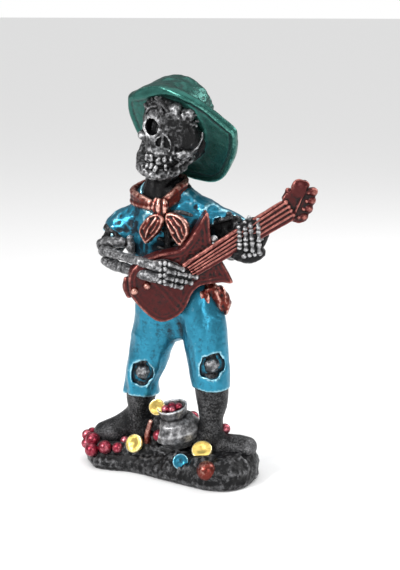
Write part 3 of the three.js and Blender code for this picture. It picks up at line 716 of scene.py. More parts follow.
def shirt():
    trunk = tube([
        (-4.5, 12, 90, 17, 11), (-5.5, 12, 100, 19.5, 12), (-6.5, 12, 112, 21.8, 12.5), (-7, 12.2, 123, 22.5, 13),
        (-8.5, 12.4, 131, 22, 12.6), (-10.5, 12.6, 138, 18, 11.5), (-12, 12.8, 143.5, 12.5, 10),
    ])
    right = tube([(-19, 13, 130.5, 9.5, 10), (-27, 12, 127, 10, 10.4), (-32.5, 9.5, 122.5, 9.8, 10.2),
                  (-35.4, 7.5, 116.6, 9.4, 9.6)], lean=(0, 1, 0))
    left = tube([(-2, 13.5, 136.4, 9.5, 8.8), (9, 15, 133.6, 10, 9.4), (18.5, 16.5, 129.6, 9.2, 8.8),
                 (25.5, 18, 126, 8.2, 8.4)], lean=(0, 1, 0))
    sleeves = cut(join([right, left], 0), [
        torn_end(*RIGHT_CUFF), torn_end(*LEFT_CUFF),
        tube([(-32.5, 9.3, 123.5, 6.5), (-37.5, 5.5, 115, 8.5)]),
        tube([(20, 16.4, 131.5, 5.5), (25.5, 14, 124, 7.4)]),
    ], 0.4)
    opening = tube([(-10.5, 5.5, 152, 10.5, 11), (-9.5, 0.5, 145, 10.5, 8.5), (-5.5, -3.4, 138, 9.5, 5.4), (-3.2, -3.8, 127, 12, 5.8), (-3, -3.4, 110, 12.5, 5.4)])
    whole = cut(join([trunk, sleeves], 2.5), opening, 0.5)
    return grown(whole, shirt_folds)


def shirt_folds_and_painted_light(points):
    """Painted light on the shirt: a painted highlight on top of the shoulders and painted shade under the arms and
    round the opening, over lighter fold ridges and darker fold hollows.
    """
    x, y, z = points.T
    # Painted highlight: lighter towards the tops of the shoulders.
    up = ramp(z - 0.12 * np.abs(x + 4), 122, 134)
    # Painted shade: darker low down at the front, under the arms.
    return 1.1 * shirt_folds(points) - 0.75 + 0.9 * up - 0.9 * ramp(124 - z, 0, 10) * ramp(6 - y, 0, 6)


def cuffs():
    """The dark torn edges of the sleeves, and dark plugs inside them that are painted shade in the sleeves."""
    (right, right_way), (left, left_way) = RIGHT_CUFF, LEFT_CUFF
    whole = join([
        ring((-34.0, 7.6, 121.0), right_way, 7.6, 1.7),
        # Painted shade: a dark plug inside the right sleeve.
        tube([(-32.5, 9, 123.5, 6.8), (-35.8, 5.5, 118.5, 6.4)]),
        ring((22.6, 15.4, 129.6), left_way, 7.2, 1.2),
        # Painted shade: a dark plug inside and under the left sleeve.
        tube([(19, 16, 131.5, 6.4), (23.4, 13.6, 125.5, 6.0), (24.4, 13.4, 121, 4.4)]),
        tube([(25.4, 12.4, 135.4, 1.3), (28.4, 12.6, 130.6, 1.5), (27.4, 12.2, 126.4, 1.2)]),
    ], 0.8)

    def ragged(points):
        down = points * np.array([1, 1, 0.35], np.float32)
        return 0.5 * ridged(down, 2.2, 15) + 0.35 * noise(points, 1.3, 16)

    return grown(whole, ragged)


def ribs():
    neck = tube([(-12.0, 10.5, 134, 11, 9.5), (-12.3, 11, 146, 8.4, 8), (-10.5, 11.6, 153, 7.2, 7.2), (-7, 12.5, 162, 8.5, 8.5)])
    chest = tube([(-4.5, 12.5, 144, 9, 8.5), (-3.6, 12.2, 134, 12.5, 9.8), (-3, 12, 122, 13.5, 10), (-3, 12, 108, 13.5, 10)])
    bars = [tube([(-3, 1.4, 140, 1.7, 1.2), (-2.8, 0.9, 126, 2.0, 1.2), (-2.6, 1.2, 114, 1.6, 1.2)])]
    for k in range(5):
        z = 136 - 4.6 * k
        for way in (-1, 1):
            bars.append(tube([(-3 + way * 1.2, 1.4, z, 1.0), (-3 + way * 6.6, 1.7, z + 0.9, 1.15), (-3 + way * 11.8, 5.4, z - 1.2, 1.1)]))
    whole = join([neck, chest, *bars], 0.8)

    def tendons(points):
        down = points * np.array([1, 1, 0.25], np.float32)
        return (0.5 * ridged(down, 2.4, 17) + 0.2 * noise(points, 1.2, 18)) * ramp(points[:, 2], 140, 146)

    return grown(whole, tendons)


def leaf(outline, folds):
    """A hanging end of cloth with a rolled edge: a thin plate in the local x-y plane."""
    edge = smooth_path(outline, 3, closed=True)

    def dist(points):
        u, w, d = points.T
        flat = outline_distance(u, w, edge)
        hem = 0.9 * np.exp(-(((flat + 1.0) / 0.75) ** 2))
        crease = 1.0 * near_lines(u, w, folds, 0.7) * ramp(d, -0.5, 0.3)
        bulge = 1.1 * ramp(-flat, 1.6, 4.5)
        deep = np.abs(d) - 1.1 - hem - crease - bulge + 0.7
        side = flat + 0.7
        return np.sqrt(np.maximum(side, 0) ** 2 + np.maximum(deep, 0) ** 2) + np.minimum(np.maximum(side, deep), 0) - 0.7

    low, high = edge.min(0), edge.max(0)
    return Form([low[0], low[1], -3.2], [high[0], high[1], 4.2], dist)


RIGHT_TAIL = [
    (-6.2, 136.7), (-10.1, 135.1), (-14, 131), (-15.7, 126.9), (-14, 123.3), (-11.8, 120.7), (-8.4, 123.3), (-5.1, 126.4),
    (-2.9, 130), (-1.8, 133.6), (-3.4, 136.2),
]
LEFT_TAIL = [
    (-0.6, 136.7), (3.8, 137.2), (8.3, 135.2), (11.1, 131), (11.1, 126.4), (7.7, 121.2), (6, 121.2), (2.7, 124.8), (0.5, 129),
    (-1.2, 133),
]
RIGHT_BAND = [
    (-10, 22, 148.5), (-19, 19.5, 147), (-24.5, 13.5, 144.3), (-24.6, 6.5, 142.6), (-18.5, 1, 141.4), (-10.5, -2.4, 140.2),
]
LEFT_BAND = [(-10, 22, 148.5), (-3, 19.5, 149), (1.6, 13, 147.6), (1.2, 6.5, 145.8), (-0.8, 1, 143), (-3.4, -2.4, 141)]
KNOT = (-4.6, -4.2, 139.6)


def neckerchief():
    parts = []
    for band in (RIGHT_BAND, LEFT_BAND):
        for k in (-1, 0, 1):
            gather = [1, 1, 1, 1, 0.8, 0.45]
            parts.append(tube([(x, y - 0.5 * abs(k) * g, z + 2.6 * k * g, 1.7, 1.9) for (x, y, z), g in zip(band, gather)], lean=(0, 1, 0)))
    for k in (-1, 0, 1):
        parts.append(tube([(KNOT[0] + 2.2 * k, KNOT[1] + 1.2 * abs(k), KNOT[2] + 3.2, 1.3, 1.6),
                           (KNOT[0] + 2.9 * k, KNOT[1] + 0.9 * abs(k) - 0.4, KNOT[2], 1.7, 2.2),
                           (KNOT[0] + 1.9 * k, KNOT[1] + 1.4 * abs(k), KNOT[2] - 3.2, 1.3, 1.6)]))
    flat = [(1, 0, 0), (0, 0, 1), (0, -1, 0)]
    right = leaf(RIGHT_TAIL, [[(-5.6, 134.5), (-9.6, 128.6), (-11.4, 124)], [(-4.2, 133), (-6.4, 129), (-8.4, 126.6)],
                              [(-9.6, 133), (-12.6, 128.6)]])
    left = leaf(LEFT_TAIL, [[(0.8, 134), (5.4, 129.6), (7.6, 124.4)], [(3.6, 135), (8, 131), (9, 127)], [(1.2, 131), (3.6, 127.4)]])
    parts += [placed(right, (0, -4.4, 0), flat), placed(left, (0, -3.8, 0), flat)]
    return grown(join(parts, 0.35), lambda points: 0.18 * noise(points, 1.8, 19))


def sash():
    whole = join([
        tube([(17.4, 8.5, 97.5, 4.4, 4), (20.5, 10.5, 94.4, 5, 4.6), (22.2, 12.5, 90.5, 4.6, 4.6), (21.6, 13.5, 86.5, 3, 3.2)]),
        ball((16, 4.5, 94.5), (2.8, 3, 4.4)),
    ], 0.5)

    def folds(points):
        across = points[:, 0] * 0.8 + points[:, 1] * 0.6 + 0.18 * points[:, 2]
        return 0.4 * np.sin(1.5 * across + 2.2 * noise(points, 5, 24)) + 0.35 * noise(points, 1.8, 26)

    return grown(whole, folds)


# Head frame: x to the figure's left, y out of the face, z to the crown
HEAD = (-4.5, 12, 178.3)
TURN, ROLL = math.radians(4), math.radians(10)
FACE_OUT = np.array([math.sin(TURN), -math.cos(TURN), 0])
LEVEL = np.array([math.cos(TURN), math.sin(TURN), 0])
HEAD_LEFT = LEVEL * math.cos(ROLL) + np.array([0, 0, -math.sin(ROLL)])
HEAD_UP = LEVEL * math.sin(ROLL) + np.array([0, 0, math.cos(ROLL)])
HEAD_AXES = np.array([HEAD_LEFT, FACE_OUT, HEAD_UP])
SOCKET = (-5.8, -0.6)
PATCH = (10.2, -2.2)
UPPER_TEETH = [(-6.0, -16.2, 1.25), (-3.4, -15.6, 1.5), (1.0, -16.3, 1.35), (3.6, -14.6, 1.3), (6.0, -13.9, 1.1)]
LOWER_TEETH = [(-5.2, -20.2, 1.2), (-2.6, -19.6, 1.35), (-0.1, -20.2, 1.3), (4.6, -18.8, 1.1)]


def to_head(points):
    return (points - np.array(HEAD, np.float32)) @ HEAD_AXES.T.astype(np.float32)


def skull():
    bone = join([
        ball((0, -1, 2), (16, 17.2, 16.5)),
        tube([(0, 6.5, 5, 12.5, 9.5), (0, 6.6, -2, 12.4, 9.2), (0, 6.2, -8.5, 11, 9.4), (-0.3, 6.2, -12.5, 8.8, 9.2),
              (-0.5, 6.0, -15, 7.6, 8.6)]),
        ball((0, 3, -19), (8.2, 8.2, 5)),
        ball((-11.4, 8.4, -6.6), (3.0, 4.2, 2.6)),
        tube([(12.6, 2, -7.5, 1.8), (13.2, 7.5, -10.2, 2.0), (10.2, 11.2, -11.6, 1.8), (7.2, 12.4, -11, 1.4)], lean=(0, 1, 0)),
        tube([(-1.0, 15.0, 3.2, 1.6), (4, 14.6, 6.6, 2.0), (9.4, 12.6, 6.6, 1.9), (14, 8, 3.6, 1.5)]),
        ball((4.2, 12.4, 9.6), (3.6, 3.4, 3.2)),
        ball((11.2, 10.2, 8.6), (3.4, 3.2, 2.8)),
        tube([(1.4, 14.8, 3.0, 1.5), (1.5, 15.2, -1.5, 1.4)]),
    ], 1.6)
    jaw = tube([(-12.2, 0, -11, 2.2, 3.2), (-12.0, 4.0, -18.6, 2.4, 3.6), (-8.4, 9.6, -22.2, 2.6, 3.6), (-2, 12.6, -23.2, 2.8, 3.6),
                (3.4, 12.0, -22.4, 2.8, 3.6), (8.2, 7.6, -19.2, 2.4, 3.4), (11.4, 2, -13, 2.2, 3.2)], lean=(0, 1, 0), steps=4)
    bone = join([bone, jaw], 1.2)
    mouth = tube([(-7.5, 12.5, -18.6, 1.9), (-1, 17, -18.2, 2.2), (6.5, 13.5, -16.2, 1.9)], lean=(0, 1, 0))
    bone = cut(bone, [
        ball((SOCKET[0], 14.0, SOCKET[1]), (4.5, 7.5, 4.2)),
        tube([(-0.7, 16.6, -8.0, 1.75, 2.6), (0.2, 17, -6.0, 1.5, 2.4), (1.2, 17.5, -4.0, 0.8, 2)], lean=(1, 0, 0)),
        tube([(4.0, 16.4, -8.2, 1.8, 2.6), (3.4, 16.8, -6.0, 1.5, 2.4), (2.4, 17.2, -3.6, 0.8, 2)], lean=(1, 0, 0)),
        mouth,
    ], 0.4)
    rims = [ring((SOCKET[0], 13.0, SOCKET[1]), (-0.32, 1, 0.05), 5.1, 0.95)]
    for row in ([(-2.4, 14.6, -9.6), (-2.5, 15.2, -7.4), (-1.6, 15.8, -5.2), (0.4, 16.2, -3.4), (1.6, 16.4, -2.4)],
                [(1.6, 16.4, -2.4), (3.8, 16.0, -3.6), (5.4, 15.4, -6.0), (6.0, 14.8, -8.6), (5.2, 14.6, -10.6)],
                [(1.5, 16.2, -3.4), (1.7, 15.8, -6.4), (1.5, 15.2, -9.4)]):
        rims.append(tube([(*p, 0.52) for p in row]))
    rims.append(tube([(16.6, 5.0, 3.4, 0.5), (17.4, 4.6, -2, 0.6), (16.2, 6.4, -7.2, 0.6), (13.4, 8.6, -10.4, 0.7)]))
    rims.append(tube([(12.6, 5.6, -13.0, 0.6), (9.6, 9.0, -16.8, 0.7), (6.2, 11.0, -21.4, 0.7), (4.6, 11.6, -24.0, 0.6)]))
    bone = join([bone, *rims], 0.5)
    teeth = []
    for row, drop in ((UPPER_TEETH, 1.5), (LOWER_TEETH, -1.3)):
        for k, (x, z, size) in enumerate(row):
            y = 5.4 + math.sqrt(max(104 - (x + 0.2) ** 2 * 1.25, 9))
            teeth.append(tube([(x, y - 0.2, z + 0.5 * drop, size * 0.85), (x + 0.15 * (k % 3 - 1), y - 0.2, z - 0.4 * drop, size * 0.85)]))
    bone = join([bone, join(teeth, 0.15)], 0.25)
    fissures = [[(-3.0, 12.6), (-1.2, 9.8), (0.2, 7.6)], [(7.4, 12.2), (7.2, 9.4), (8.6, 6.8)], [(13.8, 9.6), (14.6, 6.6)],
                [(-11, 4.6), (-8.6, 7.6), (-5.0, 9.0)], [(-12.2, -9.6), (-9.8, -10.6), (-8.0, -13.6)], [(7.6, -8.0), (8.6, -13.6)]]

    def surface(points):
        front = ramp(points[:, 1], 2, 6)
        out = 0.42 * noise(points, 2.6, 21) + 0.26 * noise(points, 1.25, 22)
        lumpy = ramp(-points[:, 2], 9, 12) + np.exp(-((points[:, 0] - 6) ** 2 / 30 + (points[:, 2] - 9.5) ** 2 / 10))
        out = out + 0.3 * lumpy * ridged(points, 1.9, 23)
        return out - 0.8 * front * near_lines(points[:, 0], points[:, 2], fissures, 0.55)

    return placed(grown(bone, surface, 0.9), HEAD, HEAD_AXES)


def skull_rub(points):
    """Where silver is rubbed more, or less, over the skull."""
    x, y, z = to_head(points).T
    out = 0.9 * np.exp(-((x - 5.0) ** 2 / 9 + (z - 9.8) ** 2 / 6)) + 0.7 * np.exp(-((x - 11.6) ** 2 / 8 + (z - 8.6) ** 2 / 6))
    out = out + 0.9 * np.exp(-((x + 10.5) ** 2 / 12 + (z + 6) ** 2 / 9)) + 0.8 * np.exp(-((x - 12.2) ** 2 / 9 + (z + 11.2) ** 2 / 3))
    out = out + 0.9 * np.exp(-((x + 1) ** 2 / 40 + (z + 12.6) ** 2 / 8)) + 0.8 * np.exp(-((x + 5) ** 2 / 50 + (z + 23) ** 2 / 12))
    around = np.sqrt((x - SOCKET[0]) ** 2 + (z - SOCKET[1]) ** 2)
    out = out + 1.1 * np.exp(-((around - 5.3) ** 2) / 1.5) * ramp(2 - x, 0, 6)
    out = out - 2.5 * (around < 4.2) - 2.5 * ramp(3 - y, 0, 4) - 1.0 * ramp(z, 11, 15)
    return out


def eye_patch():
    strokes = [[(11.6, 2.2), (13.4, -0.6), (13.8, -3.6)], [(13.2, 3.0), (15.0, 0.2)], [(10.2, -0.4), (11.6, -2.8), (11.8, -5.4)],
               [(8.0, -2.6), (9.0, -5.2), (10.4, -7.4)], [(12.6, -5.4), (12.2, -7.8)], [(7.4, 1.2), (6.6, -1.6)], [(9.4, 3.4), (11.2, 4.2)],
               [(6.4, -4.6), (7.8, -7.4)], [(14.6, -2.6), (14.6, -5.6)]]
    shape = join([
        ball((PATCH[0], 6.9, PATCH[1]), (6.9, 5.2, 8.2)),
        tube([(-6.4, 13.0, 13.6, 1.2, 0.8), (-1.4, 14.6, 11.2, 1.2, 0.8), (3.4, 14.6, 7.4, 1.2, 0.8), (7.0, 13.4, 3.6, 1.2, 0.8)]),
    ], 0.5)

    def surface(points):
        x, y, z = points.T
        out = 0.3 * near_lines(x, z, strokes, 0.45) + 0.12 * noise(points, 1.6, 25)
        around = np.sqrt(((x - PATCH[0]) / 6.0) ** 2 + ((z - PATCH[1]) / 7.4) ** 2)
        return out + 0.35 * np.exp(-(((around - 0.92) / 0.06) ** 2))

    return placed(grown(shape, surface), HEAD, HEAD_AXES)


def hair():
    shape = ball((1.5, -4, -1.5), (17.8, 15.5, 17.6))

    def strands(points):
        angle = np.arctan2(points[:, 0] - 1.5, points[:, 1] + 4)
        return 0.45 * np.sin(30 * angle + 3 * noise(points, 6, 31)) + 0.3 * noise(points, 2, 32)

    return placed(grown(shape, strands), HEAD, HEAD_AXES)


def fringe():
    """Short locks of hair that stick out from under the hat round the forehead."""
    locks = []
    for k in range(15):
        t = k / 14
        angle = math.radians(-62 + 132 * t)
        x, z = 0.8 + 15.2 * math.sin(angle), 1.5 + 14.6 * math.cos(angle)
        y = 6.8 - 2.4 * t
        inward = 0.84 + 0.05 * (k % 3)
        locks.append(tube([(x * 1.04, y - 3, z * 1.04, 1.7, 1.3), (x, y + 2.0, z, 1.5, 1.2),
                           (x * inward + 0.5 * (k % 2), y + 4.6, z * inward, 0.5, 0.5)]))
    return placed(grown(join(locks, 0.5), lambda p: 0.25 * noise(p, 1.4, 33)), HEAD, HEAD_AXES)


# Hat frame: along the brim's long way, up in its plane, out along the crown
BRIM = (-2, 15, 173)
CROWN_WAY = unit((0.159, 0.836, 0.526))
BRIM_LONG = unit((0.727, 0.262, -0.636))
BRIM_UP = unit((0.67, -0.483, 0.566))
BRIM_EDGE = [
    (-32, -6), (-28, -11), (-23, -15.5), (-18, -19.5), (-11, -23.5), (-3, -25.5), (5, -24.5), (12, -21), (19, -16),
    (25.4, -10.5), (29, -5), (29.6, 1), (28.6, 7), (27.2, 13.5), (25, 19.5), (22, 25), (19.2, 28.4), (14.5, 28.6),
    (8, 28.6), (0, 28.4), (-8, 26.6), (-14.5, 24), (-20, 19.2), (-25.4, 10.8), (-29.4, 3.4), (-33, -2.4),
]
CROWN_STEPS = [0, 4, 12, 19.4, 22.8]
CROWN_WIDE = [21.5, 20.5, 18.6, 15.5, 9.5]
CROWN_TALL = [21, 20, 18, 16, 10]


def hat():
    edge = smooth_path(BRIM_EDGE, 3, closed=True)

    def dist(points):
        a, b, c = points.T
        flat = outline_distance(a, b, edge)
        near_edge = ramp(-flat, 12, 0)
        lift = (-3 * ramp(a - b, 18, 40) + 1.5 * ramp(-a, 22, 34)) * near_edge
        level = c - lift
        rim = 0.75 * np.exp(-(((flat + 1.3) / 1.1) ** 2))
        seam = 0.5 * np.exp(-(((flat + 3.4) / 0.5) ** 2)) * ramp(-c, -1, 0)
        deep = np.abs(level - 0.9) - 0.55 - rim + seam
        side = flat + 1.0
        brim = np.sqrt(np.maximum(side, 0) ** 2 + np.maximum(deep, 0) ** 2) + np.minimum(np.maximum(side, deep), 0) - 1.0
        ca, cb = a + 9.5, b - 1.5
        widths = np.interp(c, CROWN_STEPS, CROWN_WIDE).astype(np.float32)
        talls = np.interp(c, CROWN_STEPS, CROWN_TALL).astype(np.float32)
        size = np.sqrt(ca * ca + cb * cb)
        ratio = np.sqrt((ca / widths) ** 2 + (cb / talls) ** 2) + 1e-6
        crown = -soft_min(-(size - size / ratio), -(c - 23), 7.0)
        crown = np.maximum(crown, -c)
        return soft_min(brim, crown, 4.0)

    def hammered(points):
        a, b, c = points.T
        crown = ramp(c, 1.5, 5)
        patch = crown * ramp(a - 0.4 * b, -22, -6)
        out = 0.22 * noise(points, 6.0, 41) + (0.1 + 0.35 * crown) * noise(points, 3.0, 42)
        return out + patch * 0.42 * ridged(points, 2.3, 43)

    shape = Form([-36, -29, -5], [33, 32, 25], dist)
    return placed(grown(shape, hammered), BRIM, [BRIM_LONG, BRIM_UP, CROWN_WAY])


# Guitar frame: x towards the head of the guitar, y up, z out of its face
GUITAR = np.array([2.8, -9.3, 101])
SWING, TIP = math.radians(33), math.radians(-8)
GUITAR_OUT = np.array([math.sin(SWING) * math.cos(TIP), -math.cos(SWING) * math.cos(TIP), math.sin(TIP)])
GUITAR_LEFT = np.array([math.cos(SWING), math.sin(SWING), 0])
GUITAR_UP = np.cross(GUITAR_OUT, GUITAR_LEFT)
GUITAR_AXES = np.array([GUITAR_LEFT, GUITAR_UP, GUITAR_OUT])
GUITAR_BODY = [
    (-13.9, 13.4), (-9, 15.6), (-4.1, 17.3), (3.2, 18.6), (6.7, 20.1), (12.9, 29.1), (16.7, 36.1), (18.6, 37.6),
    (19.7, 34.5), (20.4, 25.3), (22, 20.2), (26.1, 12.8), (32.4, 1.1), (26.9, 1.3), (18.4, 0.5), (14.4, -1),
    (11.5, -4.6), (9.1, -10.8), (5.2, -15.5), (-1.3, -18.5), (-6.3, -17.8), (-12.3, -12.8), (-18.3, -5.2),
    (-19.8, 0.6), (-19.8, 5.8), (-18.3, 9.4),
]
HEADSTOCK = [
    (55, 44.2), (59.6, 48.4), (63, 52.2), (66.8, 52.9), (68.6, 50.6), (67.6, 48.9), (71.4, 49.2), (72.6, 46.6),
    (70.9, 44), (71.9, 41.8), (70, 39.4), (70.4, 37.2), (68.1, 35.6), (68.2, 33.6), (66.2, 31.9), (60.4, 32.4),
]
NECK_START = np.array([8.4, 7.6])
NECK_END = np.array([59.2, 38.4])
STRING_STARTS = (2.0, 0.7, -0.7, -2.1)
STRING_ENDS = (4.9, 2.4, 0.0, -2.4)
PEGS = [(70.4, 47.4), (69.7, 43.0), (68.4, 39.0), (66.2, 34.8)]


def along_neck(t, across):
    way = NECK_END - NECK_START
    aside = np.array([-way[1], way[0]]) / np.linalg.norm(way)
    return tuple(NECK_START + way * t + aside * across)


def on_guitar(x, y, z=0.0):
    return tuple(GUITAR + GUITAR_LEFT * x + GUITAR_UP * y + GUITAR_OUT * z)


FACE_LINES = [
    [(-7.6, 2.2), (-1.8, -4.1), (4.6, -12.4)], [(-5.2, 3.4), (0.6, -2.8), (7.2, -10.6)], [(12.2, 24.2), (16.6, 31.8), (18.0, 24.6)],
    [(18.6, 15.2), (24.6, 4.6), (17.2, 3.0)], [(-15.6, 9.6), (-17.4, 4.4), (-16.6, -3.2)],
]


def face_relief(points):
    """A raised edge all round, lines inside it and stippled fields."""
    x, y, z = points.T
    flat = outline_distance(x, y, smooth_path(GUITAR_BODY, 2, closed=True))
    front = ramp(z, -1.5, -0.4) * ramp(-flat, -2, 0)
    edge = np.exp(-(((flat + 0.9) / 0.6) ** 2)) + 0.6 * np.exp(-(((flat + 3.0) / 0.4) ** 2))
    right = ramp(x + 0.62 * y, 3, 5)
    stipple = right * ramp(-flat, 3.2, 4.2) * ridged(points, 1.5, 52)
    return front * (0.4 * edge + 0.4 * near_lines(x, y, FACE_LINES, 0.5) + 0.3 * stipple - 0.25 * right * ramp(-flat, 3.2, 4.2))


def guitar():
    neck = [along_neck(0.06, -4.4), along_neck(1, -5.4), along_neck(1, 5), along_neck(0.06, 3.6)]
    grooves = [tube([(*along_neck(0.05, (a + b) / 2), 2.0, 0.55), (*along_neck(0.985, (c + d) / 2), 2.0, 0.75)])
               for a, b, c, d in zip((4.0, *STRING_STARTS), (*STRING_STARTS, -4.4), (7.0, *STRING_ENDS), (*STRING_ENDS, -5.2))]
    body = join([grown(slab(GUITAR_BODY, -7, 0, 1.0, 2), face_relief), cut(slab(neck, -3.4, 1.6, 0.7, 1), grooves, 0.2)], 0.3)
    head = join([
        slab(HEADSTOCK, -2.8, 0.8, 0.6, 2),
        ball((63.2, 49.0, 0.2), (4.2, 5.0, 2.0)),
        tube([(66.6, 50.4, 1.2, 0.6), (63.2, 41.4, 1.3, 0.6), (60.0, 33.6, 1.2, 0.6)]),
        *[ball((x, y, 0.2), (2.3, 2.0, 2.0)) for x, y in PEGS],
        *[ball((x - 2.6, y - 0.2, 1.0), (1.0, 1.0, 1.0)) for x, y in PEGS],
        *[ball((*along_neck(1.0, across), 1.6), 1.3) for across in STRING_ENDS],
        ball((58.2, 47.6, -1.8), 1.5),
    ], 0.4)
    border = tube([(*along_neck(0.02, 4.0), 1.2, 1.1), (*along_neck(0.56, 5.4), 1.2, 1.1), (*along_neck(0.97, 5.6), 0.4, 0.9)])
    rim = tube([(-20.6, 3.2, -4, 1.5), (-20.6, -1, -4, 1.9), (-19.2, -5, -4, 1.6)])
    whole = join([body, head, border, rim], 0.3)
    return placed(grown(whole, lambda points: 0.13 * noise(points, 2.2, 51)), GUITAR, GUITAR_AXES)


def strings():
    parts = []
    for start, end in zip(STRING_STARTS, STRING_ENDS):
        parts.append(tube([(*along_neck(0.04, start), 1.9, 0.5), (*along_neck(0.985, end), 1.9, 0.6)]))
    return placed(join(parts), GUITAR, GUITAR_AXES)


def knobs():
    parts = [tube([(x, y, -0.5, 2.3), (x, y, 0.9, 1.8)]) for x, y in ((-17.0, -1.4), (-10.9, 1.2))]
    return placed(join(parts), GUITAR, GUITAR_AXES)


def bones(joints, thick, waist=0.6):
    """Finger bones end to end, each narrow in the middle, with a groove between one and the next."""
    parts = []
    for a, b in zip(joints[:-1], joints[1:]):
        a, b = np.array(a), np.array(b)
        inset = unit(b - a) * thick * 0.9
        a, b = a + inset, b - inset
        parts.append(tube([(*a, thick), (*((a + b) / 2), thick * waist), (*b, thick)], steps=2))
    return parts


def spaced(start, end, count, bow=0.0):
    """Places on the guitar from start to end (x, y, z), lifted by the bow in the middle."""
    start, end = np.array(start), np.array(end)
    rows = []
    for k in range(count + 1):
        t = k / count
        x, y, z = start + (end - start) * t
        rows.append(on_guitar(x, y, z + bow * 4 * t * (1 - t)))
    return rows


RADIUS = [(-35.1, -6, 115.7, 3.0), (-30, -8.6, 115.5, 2.5), (-20.6, -13, 115, 2.1), (-11, -17, 114.6, 2.2), (*on_guitar(-8.6, 12.6, 2.4), 2.5),
          (*on_guitar(-6.6, 12.1, 2.4), 2.7)]
ULNA = [(-35, -4.4, 110.2, 2.6), (-27, -8.6, 109.2, 2.8), (-18, -12.4, 108.8, 2.6), (-9.6, -16, 108.2, 2.7), (*on_guitar(-7.4, 6.4, 2.2), 2.8)]


def right_arm():
    arm = join([
        tube([(-33, 8, 122, 4), (-36, 3, 118.6, 4.4), (-36.4, -2.6, 117.6, 4.0)]),
        tube([(-38.4, -1.6, 117.8, 3.3), (-33, -2.4, 119.2, 3.0), (-28, -1.4, 119.8, 2.8)]),
        tube(RADIUS, steps=4),
        tube(ULNA, steps=4),
        tube([(-24.3, 1.6, 121.4, 1.8), (-23.8, 0.8, 118, 2.5), (-23, 1.2, 114.6, 1.8)]),
    ], 0.4)
    return grown(arm, lambda points: 0.3 * noise(points, 1.8, 61) + 0.2 * ridged(points, 1.1, 63))


def left_arm():
    elbow = (22.5, 23, 114)
    arm = join([
        tube([(21, 17, 129, 4.2), (26, 19.5, 122, 3), (*elbow, 3.8)]),
        tube([(*elbow, 3.4), (28, 18.4, 115.4, 2.8, 3.2), (*on_guitar(31, 15.4, -2.4), 2.6, 2.4)]),
    ], 0.5)
    return grown(arm, lambda points: 0.2 * noise(points, 2.0, 62))


LEFT_FINGERS = [
    ((33.9, 31.2, 0.8), (34.1, 19.8, 4.0)), ((36.7, 33.6, 0.6), (37.2, 19.0, 4.4)), ((38.9, 36.0, 0.4), (40.6, 18.4, 4.6)),
    ((43.0, 35.4, 0.6), (43.8, 17.2, 4.4)),
]
RIGHT_FINGERS = [
    ((-1.2, 13.4, 3.2), (7.6, 9.2, 2.2), 1), ((-2.0, 9.6, 3.4), (14.4, 5.0, 1.6), 3), ((-2.4, 6.2, 3.4), (11.9, 2.1, 1.8), 3),
    ((-3.0, 3.2, 3.0), (6.9, 0.0, 2.0), 2),
]


def hands():
    """The dark backs of both hands, which the finger bones lie on."""
    right = tube([(*on_guitar(-6.8, 9.2, 1.2), 5.6, 2.0), (*on_guitar(-2, 8.2, 1.4), 6.8, 2.0), (*on_guitar(4, 5.8, 0.9), 5.6, 1.5),
                  (*on_guitar(10.5, 4.4, 0.4), 3.2, 1.2)], lean=GUITAR_UP)
    palm = tube([(*on_guitar(31, 16.6, -1.6), 1.9, 2.4), (*on_guitar(35.6, 15.4, 1.2), 2.8, 3.0), (*on_guitar(40.2, 15.4, 1.8), 3.3, 3.2),
                 (*on_guitar(44.6, 17, 1.2), 3.0, 3.0)])
    back = tube([(*on_guitar(34.6, 20, 1.4), 1.8, 4.6), (*on_guitar(39, 21, 1.8), 2.0, 6.6), (*on_guitar(43.4, 21.4, 1.4), 1.8, 6.4)],
                lean=GUITAR_OUT)
    tops = tube([(*on_guitar(34.2, 29.4, 0.8), 1.6, 2.0), (*on_guitar(38.8, 32.4, 0.8), 1.6, 2.6), (*on_guitar(43, 32.6, 0.4), 1.6, 2.4)],
                lean=GUITAR_OUT)
    thumb = tube([(*on_guitar(43.6, 16.5, -1.5), 2.2), (*on_guitar(46.4, 20.5, -4.6), 2.2), (*on_guitar(48.2, 25, -4), 2.0),
                  (*on_guitar(48.9, 27, -2.6), 1.4)])
    return grown(join([right, palm, back, tops, thumb], 0.8), lambda points: 0.25 * ridged(points, 1.8, 64))


def finger_bones():
    parts = []
    for start, end, count in RIGHT_FINGERS:
        parts += bones(spaced(start, end, count), 1.25)
    for k in range(8):
        parts.append(ball(on_guitar(-4.9 + 2.5 * (k // 4), 13.6 - 3.1 * (k % 4), 3.2), (1.25, 1.2, 1.25)))
    for start, end in LEFT_FINGERS:
        parts += bones(spaced(start, end, 3, bow=1.2), 1.3)
    for k in range(4):
        parts.append(ball(on_guitar(36.4 + 2.6 * k, 16.6 + 0.35 * k, 4.3), (1.3, 1.2, 1.2)))
    parts += bones([on_guitar(46.0, 22, -3.4), on_guitar(48.3, 27.4, -2.0)], 1.2)
    return grown(join(parts, 0.1), lambda points: 0.12 * noise(points, 1.2, 65))


def coin(at, facing, radius, thick):
    out = unit(facing)
    side = unit(np.cross((0.2, 0, 1), out))
    axes = np.array([side, np.cross(out, side), out])
    circle = [(radius * math.cos(i / 24 * 2 * math.pi), radius * math.sin(i / 24 * 2 * math.pi)) for i in range(24)]
    face = slab(circle, -thick / 2, thick / 2, 0.4, 1)
    dish = ball((0, 0, thick / 2 + 2.0), (radius * 0.8, radius * 0.8, 2.5))
    return placed(cut(face, dish, 0.3), at, axes)


